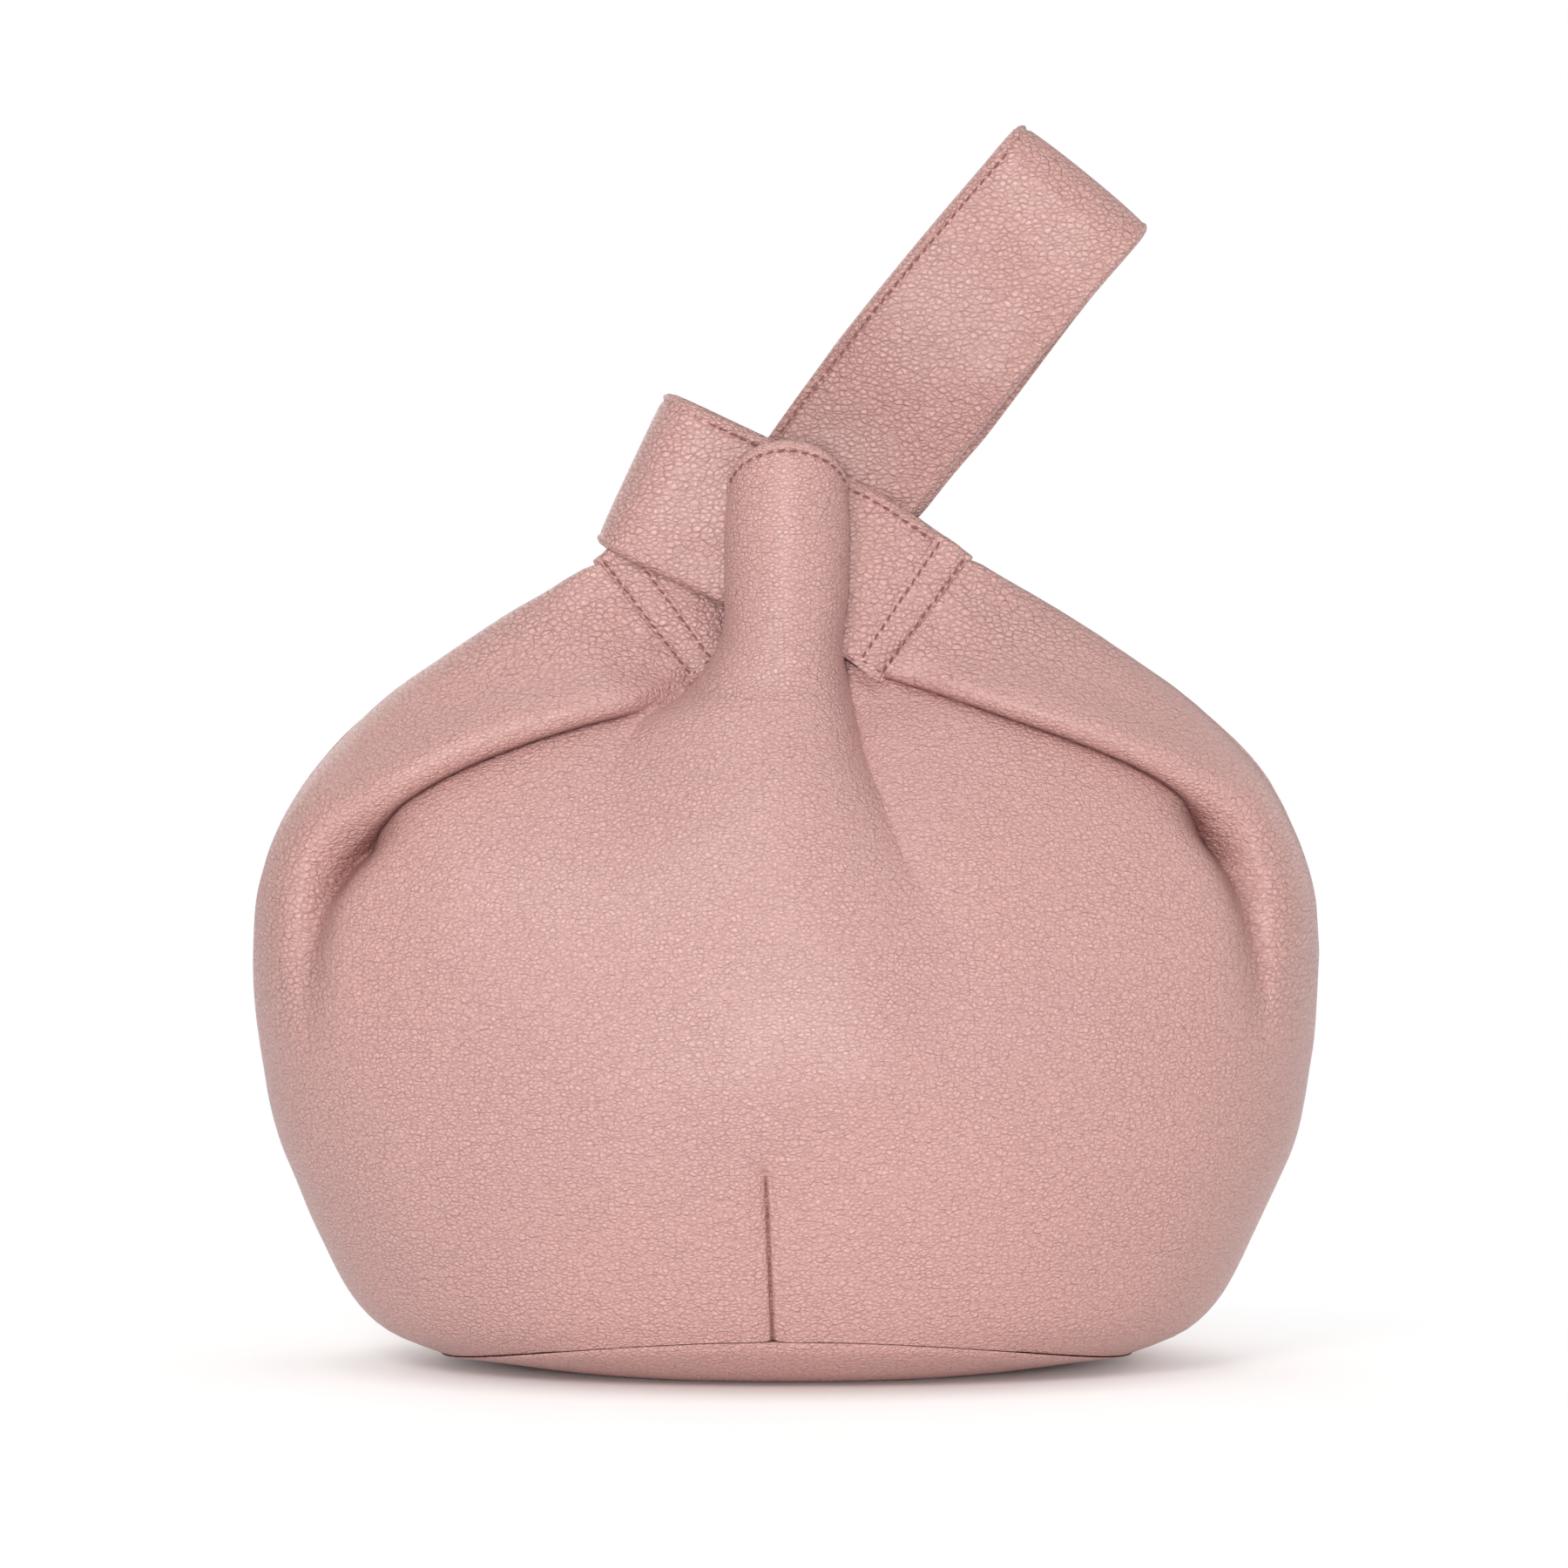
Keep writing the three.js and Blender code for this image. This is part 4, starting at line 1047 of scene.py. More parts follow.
    def grid(self) -> tuple[Array, Array]:
        """Rows by columns of the panel as places t and heights z, with heights packed closely at the fold.

        Returns:
            The grids of t and z.
        """
        t = self.columns()
        inside = np.abs(t) <= self.tongue_share
        left, right = ~inside & (t < 0), ~inside & (t > 0)
        top = np.where(inside, self.split, self.shoulder_top(t)[1])
        fold_z = np.full_like(t, 165.0)
        right_line = np.array(self.right_fold.line.points[:13])
        left_line = np.array(self.left_fold.line.points[4:])
        for _ in range(12):
            x = self.column_x(t, fold_z)
            target = np.where(t > 0, np.interp(x, *right_line.T), np.interp(x, *left_line.T))
            fold_z = 0.5 * fold_z + 0.5 * np.minimum(target, top - 0.6)
        for chosen in (left, right):
            fold_z[chosen] = self.evened(fold_z[chosen])
        ends = [fold_z[left][-1], fold_z[right][0]]
        fold_z[inside] = np.interp(t[inside] / self.tongue_share, [-1, 1], ends)
        fold_z = np.minimum(fold_z, top - 0.6)
        upper = np.minimum(fold_z + 9.0, top - 0.3)
        lower = fold_z - 18.0
        pieces = [
            (np.full_like(t, self.base_seam), lower, np.linspace(0, 1, 52, endpoint=False)),
            (lower, fold_z, 1 - np.linspace(1, 0, 36, endpoint=False) ** 1.5),
            (fold_z, upper, np.linspace(0, 1, 30, endpoint=False)),
            (upper, top, np.linspace(0, 1, 32))]
        z = np.concatenate([a + (b - a) * s[:, None] for a, b, s in pieces])
        return np.broadcast_to(t, z.shape).copy(), z

    @staticmethod
    def evened(values: Array, reach: int = 6, rounds: int = 3) -> Array:
        """Running mean over 2 * reach + 1 values, a few times, with the ends held."""
        for _ in range(rounds):
            padded = np.pad(values, reach, mode="edge")
            values = np.convolve(padded, np.full(2 * reach + 1, 1 / (2 * reach + 1)), mode="valid")
        return values

    def beside_tongue(self, t: Array, x: Array, z: Array) -> Array:
        """How far a place is clear of the tongue's foot: 0 at its side to 1 some way out."""
        half = sided(t, z, self.left_rows, self.right_rows)
        reach = np.where(t < 0, 9.0, 5.0)
        return np.where(self.in_tongue(t), 0.0, smooth((np.abs(x) - half) / reach))

    def dress_wall(self, t: Array, z: Array, side: Side) -> tuple[Array, Array]:
        """Outer and inner face of the wall with its folds, dart, seams and slack.

        Args:
            t: columns of the grid.
            z: heights of the grid.
            side: front or back.

        Returns:
            Outer and inner grids, both for the front.
        """
        smooth_wall = self.place(t, z)
        x, height = smooth_wall[..., 0], smooth_wall[..., 2]
        normal = self.outward(x, z)
        moved = smooth_wall.copy()
        out = self.details(x, height, t, side)
        dip = np.zeros_like(x)
        for fold, share in self.pleats(t, x, z):
            lift, shift, gx, gz = fold.displacement(x, height)
            towards = np.stack([gx, np.zeros_like(gx), gz], -1)
            towards -= normal * np.einsum("...i,...i->...", towards, normal)[..., None]
            moved += towards * (shift * share)[..., None]
            out += lift * share
            dip += fold.lining_dip(x, height) * share
        return moved + normal * out[..., None], smooth_wall - normal * (self.leather + dip + 0.2)[..., None]

    def painted_crease_shade(self, t: Array, z: Array) -> Array:
        """Painted shade on the wall: how far each point is darkened in a pleat's crease, in its pocket and
        along the dart, 0 to 1.

        Args:
            t: places of the columns.
            z: heights, of the same shape.

        Returns:
            The shares.
        """
        wall = self.place(t, z)
        x, height = wall[..., 0], wall[..., 2]
        deep = np.zeros_like(x)
        for fold, share in self.pleats(t, x, z):
            deep = np.maximum(deep, fold.painted_shade_share(x, height) * share)
        # painted shade along the dart's line
        off, fade = self.from_dart(x, height)
        return np.maximum(deep, 0.75 * bump(off, 0.55) * fade)

    def from_dart(self, x: Array, z: Array) -> tuple[Array, Array]:
        """Way across from the dart's line, and a fade that ends with the dart."""
        foot_x, foot_z = self.dart_foot
        return x - foot_x + (z - foot_z) * self.dart_lean, 1 - smooth(z, *self.dart_fade)

    def details(self, x: Array, z: Array, t: Array, side: Side) -> Array:
        """Small outward moves: dart, base and side seams, puckers at the strap seams and slack leather.

        Args:
            x: places across.
            z: heights.
            t: columns.
            side: front or back, each with its own slack.

        Returns:
            The moves.
        """
        seed = 11 if side is Side.FRONT else 23
        inside = self.in_tongue(t)
        off, dart_fade = self.from_dart(x, z)
        out = -1.1 * bump(off, 0.5) * dart_fade - 0.8 * bump(off, 4.0) * dart_fade
        out += -1.1 * bump(np.hypot(off, z - self.dart_tip), 3.2)
        out += 0.5 * bump(np.abs(off) - 5.0, 3.5) * dart_fade
        out += -0.4 * np.exp(-np.maximum(z - self.base_seam, 0) / 0.7)
        out += -0.9 * bump(smooth(np.abs(t), 0.9, 1.0) - 1, 0.1)
        slack = 1 - smooth(z, 160, 176)
        out += self.wave_height * ripple(x, z * 0.8, 70.0, seed) * slack * smooth(z, 12, 40)
        at_split = np.where(inside, 1 - smooth(z, 165, 176), 1.0)
        fine = self.ripple_height * ripple(x, z, 17.0, seed + 1)
        out += fine * smooth(z, 14, 30) * (1 - 0.6 * slack) * at_split
        for seam, chosen in self.seams(t):
            away = seam.away(x, z)
            pucker = np.sin(seam.height(x, z) / 21.0 * 9.5 + 0.08 * away + seed) * 0.42 * bump(away - 5, 9.0)
            edge = -0.5 * bump(away - 0.2, 0.9)
            out += (pucker * smooth(away, 0.5, 4) + edge) * chosen * ~inside * smooth(z, 178, 186)
        return out


@dataclass
class Panels:
    """The front and back leather panels and the lining behind each."""

    form: PouchForm
    lining_gap: float = 0.5
    lining_thickness: float = 0.9

    def build(self, finishes: Finishes) -> None:
        """Makes the four pieces on the bag's body.

        Args:
            finishes: the bag's materials.
        """
        t, z = self.form.grid()
        coarser = (slice(None, None, 2), slice(None, None, 2))
        lining_t, lining_z = t[coarser], z[coarser]
        for side in Side:
            outer, inner = self.form.dress_wall(t, z, side)
            # the panel's colour carries painted shade in its creases, pockets and dart
            self.piece(finishes, f"panel_{side.word}", outer, inner, side, "leather", f"{side.word}_panel",
                       self.form.painted_crease_shade(t, z))
            wall = self.form.place(lining_t, lining_z)
            normal = self.form.outward(wall[..., 0], lining_z)
            back = self.form.leather + 0.2 + self.lining_gap
            for fold, share in self.form.pleats(lining_t, wall[..., 0], lining_z):
                back = back + fold.lining_dip(wall[..., 0], wall[..., 2]) * share
            face, rear = (wall - normal * (back + thick)[..., None] for thick in (0.0, self.lining_thickness))
            for grid in (face, rear):
                grid[..., 1] = np.minimum(grid[..., 1], -0.05)
            self.piece(finishes, f"lining_{side.word}", face, rear, side, "lining", f"{side.word}_lining")

    def grain_level(self, points: Array) -> Array:
        """Grain of the body: coarse on the shoulders and in the side pleats, fine on the belly.

        Args:
            points: (n, 3) places.

        Returns:
            The grain's size at each place.
        """
        x, z = np.abs(points[:, 0]), points[:, 2]
        shoulder = smooth(z, 168, 196) * smooth(x, 14, 30)
        pleat = smooth(x, 108, 128) * smooth(z, 70, 105)
        return 0.3 + 0.65 * np.maximum(shoulder, 0.8 * pleat)

    def piece(self, finishes: Finishes, name: str, outer: Array, inner: Array, side: Side, slot: str,
              node: str, fold: Array | None = None) -> None:
        """One closed sheet, mirrored for the back, riding on the bag.

        Args:
            finishes: the bag's materials.
            name: piece name.
            outer: grid of the face that shows.
            inner: grid of the face behind it.
            side: front or back.
            slot: the piece's material.
            node: node that the piece replaces.
            fold: painted shade at the outer grid's places, darkest deep in a crease.
        """
        points, faces = closed_sheet(outer * side.mirror, inner * side.mirror, rim_steps=3,
                                     flat_rims=("first", "last", "left", "right"))
        obj = make_mesh(name, points, faces, coarse=self.grain_level, fold=fold)
        finishes.dress(obj, slot, node)
        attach(obj, "bag")


@dataclass
class Tongues:
    """The upright tongues in the middle of each mouth hem, with facing and edge stitching."""

    form: PouchForm
    rows: int = 84
    spring: float = 233.2
    arch_rise: float = 11.4
    thickness: float = 2.1
    facing_gap: float = 0.3
    facing_thickness: float = 1.0
    facing_depth: float = 33.0
    facing_rows: int = 30
    stitch_inset: float = 1.9
    stitches: StitchRow = field(default_factory=lambda: StitchRow(height=0.5))

    def top(self, t: Array, inset: float = 0.0) -> Array:
        """Height of the arched edge at a column: spring + rise * cos(angle), drawn in by an inset."""
        return self.spring + self.arch_rise * np.cos(self.form.angle(t)) - inset

    def face(self, t: Array, z: Array, inset: float) -> Array:
        """The tongue's surface, moved in by an inset along its own normals.

        Args:
            t: places of the columns.
            z: heights, of the same shape.
            inset: how far in.

        Returns:
            (rows, columns, 3) places.
        """
        wall = self.form.place(t, z)
        normal = unit(np.cross(np.gradient(wall, axis=0), np.gradient(wall, axis=1)))
        if normal[0, normal.shape[1] // 2, 1] > 0:
            normal = -normal
        out = self.form.details(wall[..., 0], wall[..., 2], t, Side.FRONT)
        arch = self.top(t) - z
        lift = smooth(z, self.form.split + 10, self.form.split + 30)
        hem = 0.35 * bump(arch - 0.9, 0.9) - 0.4 * bump(arch - self.stitch_inset - 0.1, 0.55)
        return wall + normal * (out + hem * lift - inset)[..., None]

    def sheet(self, t: Array, z: Array, inset: float, thick: float, side: Side,
              **rims: object) -> tuple[Array, Array]:
        """A closed sheet that follows the tongue's surface at an inset, on one face of the bag.

        Args:
            t: places of the columns.
            z: heights, of the same shape.
            inset: how far in its outer face lies.
            thick: its thickness.
            side: front or back.
            rims: settings of the sheet's edges.

        Returns:
            Points and four-sided faces.
        """
        near, far = (self.face(t, z, place) * side.mirror for place in (inset, inset + thick))
        return closed_sheet(near, far, **rims)

    def build(self, finishes: Finishes) -> None:
        """Makes tongue, facing and stitches for both faces.

        Args:
            finishes: the bag's materials.
        """
        form = self.form
        columns = form.columns()
        columns = columns[form.in_tongue(columns)]
        rise = 1 - (1 - np.linspace(0, 1, self.rows)) ** 1.25
        t = np.broadcast_to(columns, (self.rows, len(columns))).copy()
        z = form.split + (self.top(columns) - form.split) * rise[:, None]
        high = self.top(columns[::2], 0.9)
        low = np.maximum(high - self.facing_depth, form.split + 6)
        facing_z = low + (high - low) * np.linspace(0, 1, self.facing_rows)[:, None]
        facing_t = np.broadcast_to(columns[::2] * 0.985, facing_z.shape).copy()
        seam_t = np.linspace(-0.92, 0.92, 160) * form.tongue_share * 0.93
        seam_z = self.top(seam_t, self.stitch_inset)
        path = form.place(np.stack([seam_t, seam_t]), np.stack([seam_z - 0.5, seam_z]))[1]
        up = unit(path * np.array([0.9, 0.0, 0.0]) - np.array([0.0, 14.0, 0.0]))
        behind = self.thickness + self.facing_gap
        for side in Side:
            body = f"{side.word}_tongue"
            tongue = make_mesh(f"tongue_{side.word}", *self.sheet(t, z, 0.0, self.thickness, side,
                                                                  flat_rims=("first",)), coarse=0.2)
            finishes.dress(tongue, "leather", body)
            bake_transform(tongue)
            facing = make_mesh(f"tongue_facing_{side.word}", *self.sheet(
                facing_t, facing_z, behind, self.facing_thickness, side, rim_steps=3))
            finishes.dress(facing, "leather", f"{side.word}_tongue_facing")
            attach(facing, body)
            thread = make_mesh(f"tongue_stitches_{side.word}",
                               *self.stitches.sew(path * side.mirror, up * side.mirror))
            finishes.dress(thread, "thread", f"{side.word}_tongue_thread")
            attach(thread, body)


@dataclass
class Base:
    """The base: a shallow leather dish puffed along its seam, the stiffener in it and its lining."""

    form: PouchForm
    thickness: float = 1.8
    board: float = 1.6
    cloth: float = 1.0
    gap: float = 0.3
    sides: int = 200
    profile: list = field(default_factory=lambda: [
        (0.0, 0.0), (0.0, 0.25), (0.0, 0.5), (0.05, 0.6), (0.5, 0.68), (1.3, 0.745), (2.3, 0.80),
        (3.5, 0.853), (4.8, 0.9), (6.0, 0.94), (7.0, 0.973), (7.9, 0.99), (8.5, 0.998), (8.8, 0.998),
        (8.93, 0.988), (8.96, 0.97)])

    def ring(self, share: Array, height: Array, inset: float = 0.0) -> Array:
        """Superellipse rings at shares of the base seam's outline.

        Args:
            share: share of each ring.
            height: height of each ring.
            inset: how much smaller all round.

        Returns:
            (rings, sides, 3) places.
        """
        angle = np.linspace(0, 2 * math.pi, self.sides, endpoint=False)
        power = 2 / self.form.roundness
        wide, deep = self.form.width_rows[0][1], self.form.depth_rows[0][1]
        c, s = np.cos(angle), np.sin(angle)
        x = np.sign(c) * np.abs(c) ** power * (wide * share[:, None] - inset)
        y = np.sign(s) * np.abs(s) ** power * (deep * share[:, None] - inset)
        lifted = np.clip(height / self.form.base_seam, 0, 1)[:, None] ** 1.5
        lift = self.form.seam_lift(np.abs(c) ** power) * lifted
        return np.stack([x, y, height[:, None] + lift], -1)

    def build(self, finishes: Finishes) -> None:
        """Makes the three pieces on the bag's body.

        Args:
            finishes: the bag's materials.
        """
        rows = np.array(self.profile)
        share = np.maximum(rows[:, 1], 0.002)
        outer = self.ring(share, rows[:, 0])
        inner = self.ring(np.maximum(share - 0.012, 0.002), np.minimum(rows[:, 0] + self.thickness, 8.9), 0.6)
        shell = make_mesh("base_shell", *lofted(np.concatenate([outer, inner[::-1]])), coarse=0.3)
        finishes.dress(shell, "leather", "base_panel")
        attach(shell, "bag")
        bottom = self.thickness + self.gap
        for name, slot, node, low, thick, reach in (
                ("base_stiffener", "board", "base_board", bottom, self.board, 0.70),
                ("base_cloth", "lining", "base_lining", bottom + self.board + self.gap, self.cloth, 0.80)):
            inset = min(thick, 1.6) * 0.3
            shares = np.array([0.3, 1.0, 1.0, 1.0, 1.0, 0.3]) * reach
            rings = self.ring(shares, np.array([0.0, 0.0, 0.25, 0.75, 1.0, 1.0]) * thick + low)
            rings[[1, 4]] *= np.array([1 - inset / 60, 1 - inset / 35, 1.0])
            obj = make_mesh(name, *lofted(rings))
            finishes.dress(obj, slot, node)
            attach(obj, "bag")


# Straps


@dataclass
class StrapPath:
    """A strap's middle line, seen from the front, with its depth in front of the middle plane.

    Attributes:
        start: (x, z) of the middle of its seam.
        first_angle: rise of its run at the seam, in degrees.
        last_angle: rise of its run past the seam.
        ease: length over which the rise changes.
        length: length from the seam to the middle of its fold.
        outer_rows: depth of its outer face by the place along it.
        lean_rows: how the depth falls up the strap's width.
    """

    start: tuple[float, float]
    first_angle: float
    last_angle: float
    ease: float
    length: float
    outer_rows: list
    lean_rows: list

    def read(self, s: Array) -> tuple[Array, Array, Array]:
        """Places of the middle line, run directions and up directions in the front view.

        Args:
            s: places along the strap.

        Returns:
            Places (x, z), directions along and directions up.
        """
        fine = np.linspace(0, self.length, 400)
        turned = (self.first_angle - self.last_angle) * (1 - smooth(fine, 0, self.ease))
        angle = np.radians(self.last_angle + turned)
        run = np.stack([np.cos(angle), np.sin(angle)], -1)
        steps = np.cumsum((run[1:] + run[:-1]) / 2 * (fine[1] - fine[0]), 0)
        middle = np.array(self.start) + np.concatenate([[[0, 0]], steps])
        past = np.maximum(s - self.length, 0)[..., None]
        here, direction = read_line(s, fine, middle), read_line(s, fine, run)
        up = np.stack([-direction[..., 1], direction[..., 0]], -1)
        return here + direction * past, direction, up * np.sign(up[..., 1:])

    def spot(self, s: Array, w: Array) -> Array:
        """Places (x, z) at s along the strap and w up across it."""
        here, _, up = self.read(s)
        return here + up * w[..., None]

    def depth(self, s: Array, w: Array) -> Array:
        """Depth of the strap's outer face at s along it and w up across it."""
        return curve(self.outer_rows, s) - curve(self.lean_rows, s) * w


@dataclass
class StrapSection:
    """Across a strap: piped edges, a sunk stitch line inside them and a slightly crowned middle."""

    half_width: float = 21.5
    bead: float = 0.35
    groove: float = 0.45
    inset: float = 2.1
    crown: float = 0.4

    def places(self) -> Array:
        """Places across, closer together at both edges."""
        edge = np.array([0, 0.35, 0.8, 1.3, 1.7, 2.1, 2.5, 3.0, 3.8, 5.0])
        middle = np.linspace(-self.half_width + 6.5, self.half_width - 6.5, 19)
        return np.concatenate([edge - self.half_width, middle, (self.half_width - edge)[::-1]])

    def rise(self, w: Array) -> Array:
        """Height of the face over its flat place, with the stitch groove along the upper edge.

        Args:
            w: places up across the strap.

        Returns:
            The heights.
        """
        height = self.crown * (1 - (w / self.half_width) ** 4)
        for near, groove in ((self.half_width - w, self.groove), (self.half_width + w, 0.1)):
            height = height + self.bead * bump(near - 1.0, 0.8)
            height = height - groove * bump(near - self.inset, 0.6)
            height = height - 0.55 * bump(near, 0.45)
        return height


@dataclass
class Strap:
    """What both straps share: section, plies, the band over the root and the stitches."""

    form: PouchForm
    section: StrapSection = field(default_factory=StrapSection)
    stitches: StitchRow = field(default_factory=StitchRow)
    outer_ply: float = 1.5
    inner_ply: float = 1.2
    gap: float = 0.25
    band_width: float = 9.4

    def places(self, last: float, count: int) -> Array:
        """Places along a strap as a column, closer together under the band than past it."""
        under, past = np.linspace(0, self.band_width, 8)[:-1], np.linspace(self.band_width, last, count)
        return np.concatenate([under, past])[:, None]

    def plies(self) -> tuple[tuple[float, float, bool], ...]:
        """Inset and thickness of the outer and the inner ply, and whether the ply's face is shaped."""
        return (0.0, self.outer_ply, True), (self.outer_ply + self.gap, self.inner_ply, False)


@dataclass
class ShortLoop(Strap):
    """The short handle loop: two plies from the right shoulder, folded at the left and back again."""

    radius: float = 12.1

    def path(self) -> StrapPath:
        """The loop's middle line, running left from the right seam."""
        seam = self.form.right_seam
        rise = math.degrees(math.atan2(seam.up[0], seam.up[1]))
        return StrapPath(tuple(seam.middle), 180 - rise, 180 - 25.2, 30.0, 84.0,
                         [(0, 12.6), (9.5, 12.6), (45, 12.1), (100, 12.1)],
                         [(0, 0.242), (9.5, 0.242), (45, 0.0), (100, 0.0)])

    def narrow(self, s: Array) -> Array:
        """Share of the full width: the seam's length at the root, all of it further on."""
        at_root = self.form.right_seam.length / 2 / self.section.half_width
        return 1 - (1 - at_root) * (1 - smooth(s, 9, 30))

    def ply(self, inset: float, thick: float, shaped: bool) -> tuple[Array, Array]:
        """One ply, along the front, round the fold and along the back.

        Args:
            inset: depth of the ply's outer face in the strap.
            thick: thickness of the ply.
            shaped: whether its outer face has piped edges and a stitch groove.

        Returns:
            Outer and inner face as grids along and across.
        """
        path = self.path()
        fold_at = path.length - self.radius + 3.0
        s, w = self.places(fold_at, 54), self.section.places()
        turn = np.linspace(0, math.pi, 26)[1:-1, None]
        end, run, up = (part[0] for part in path.read(np.array([fold_at])))
        faces = []
        for depth_in in (inset, inset + thick):
            rise = self.section.rise(w) if shaped and depth_in == inset else 0 * w
            front = standing(path.spot(s, w * self.narrow(s)), -(path.depth(s, w) - depth_in + rise))
            radius = self.radius - depth_in + rise
            flat = end + up * w[:, None] + run * (np.sin(turn) * radius)[..., None]
            bend = standing(flat, -np.cos(turn) * radius)
            faces.append(self.settle(np.concatenate([front, bend, front[::-1] * Side.BACK.mirror])))
        return faces[0], faces[1]

    def settle(self, grid: Array) -> Array:
        """Slack of a soft strap: away from the seam its faces wave in and out a little.

        Args:
            grid: places of a face.

        Returns:
            The moved places.
        """
        slack = 0.45 * ripple(grid[..., 0], grid[..., 2], 38.0, 5)
        moved = grid.copy()
        fade = smooth(self.form.right_seam.middle[0] - grid[..., 0], 8, 26)
        moved[..., 1] += np.sign(grid[..., 1]) * slack * fade
        return moved

    def build(self, finishes: Finishes) -> None:
        """Makes plies, seam bands and stitching.

        Args:
            finishes: the bag's materials.
        """
        names = (("short_loop_cover", "short_loop_outer"), ("short_loop_backing", "short_loop_inner"))
        for (name, node), ply in zip(names, self.plies()):
            obj = make_mesh(name, *closed_sheet(*self.ply(*ply)))
            finishes.dress(obj, "leather", node)
            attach(obj, "bag")
        path = self.path()
        s = np.linspace(self.band_width + 1.6, path.length - self.radius + 2.0, 120)
        w = (self.section.half_width - self.section.inset) * self.narrow(s)
        for side in Side:
            line = standing(path.spot(s, w), side.value * (path.depth(s, w) - 0.15))
            obj = make_mesh(f"short_loop_stitches_{side.word}", *self.stitches.sew(line, side.out))
            finishes.dress(obj, "thread", f"short_loop_thread_{side.word}")
            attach(obj, "bag")
        half_length = self.form.right_seam.length / 2
        SeamBand(path, self.band_width, half_length, self.stitches, "right").build(finishes)


@dataclass
class SeamBand:
    """The band sewn over a strap's root: a folded strip with a row of stitches along both edges."""

    path: StrapPath
    width: float
    half_length: float
    stitches: StitchRow
    name: str
    thickness: float = 1.3
    foot_inset: float = 1.7
    row_inset: float = 1.1
    edges: tuple[float, ...] = (0, 0.3, 0.7, 1.1, 1.6, 2.4, 3.5, 4.7, 5.9, 7.0, 7.8, 8.3, 8.7, 9.1, 9.4)

    def build(self, finishes: Finishes) -> None:
        """Makes band and stitches on both faces.

        Args:
            finishes: the bag's materials.
        """
        rows = (self.row_inset, self.width - self.row_inset)
        s, w = np.meshgrid(np.array(self.edges) / self.edges[-1] * self.width,
                           np.linspace(-self.half_length, self.half_length, 60), indexing="ij")
        flat, base = self.path.spot(s, w), self.path.depth(s, w)
        rise = 0.25 * (1 - ((s / self.width) * 2 - 1) ** 2) + 0.22 * ripple(s * 2.0, w, 13.0, 9)
        for row, spread in ((rows[0], 0.7), (rows[1], 0.7), (0.0, 0.6), (self.width, 0.6)):
            rise = rise - 0.5 * bump(s - row, spread)
        top, foot = self.half_length - 0.8, -self.half_length + self.foot_inset
        lines = [(np.full(60, row), np.linspace(top, foot, 60)) for row in rows]
        lines.append((np.linspace(*rows, 20), np.full(20, foot)))
        for side in Side:
            outer = standing(flat, side.value * (base + self.thickness + rise))
            inner = standing(flat, side.value * (base + 0.1))
            obj = make_mesh(f"{self.name}_band_{side.word}", *closed_sheet(outer, inner, rim_steps=3))
            finishes.dress(obj, "leather", f"{self.name}_seam_band_{side.word}")
            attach(obj, "bag")
            sewn = []
            for line in lines:
                over = side.value * (self.path.depth(*line) + self.thickness - 0.05)
                sewn.append(self.stitches.sew(standing(self.path.spot(*line), over), side.out))
            obj = make_mesh(f"{self.name}_stitches_{side.word}", *joined(sewn))
            finishes.dress(obj, "thread", f"{self.name}_seam_thread_{side.word}")
            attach(obj, "bag")


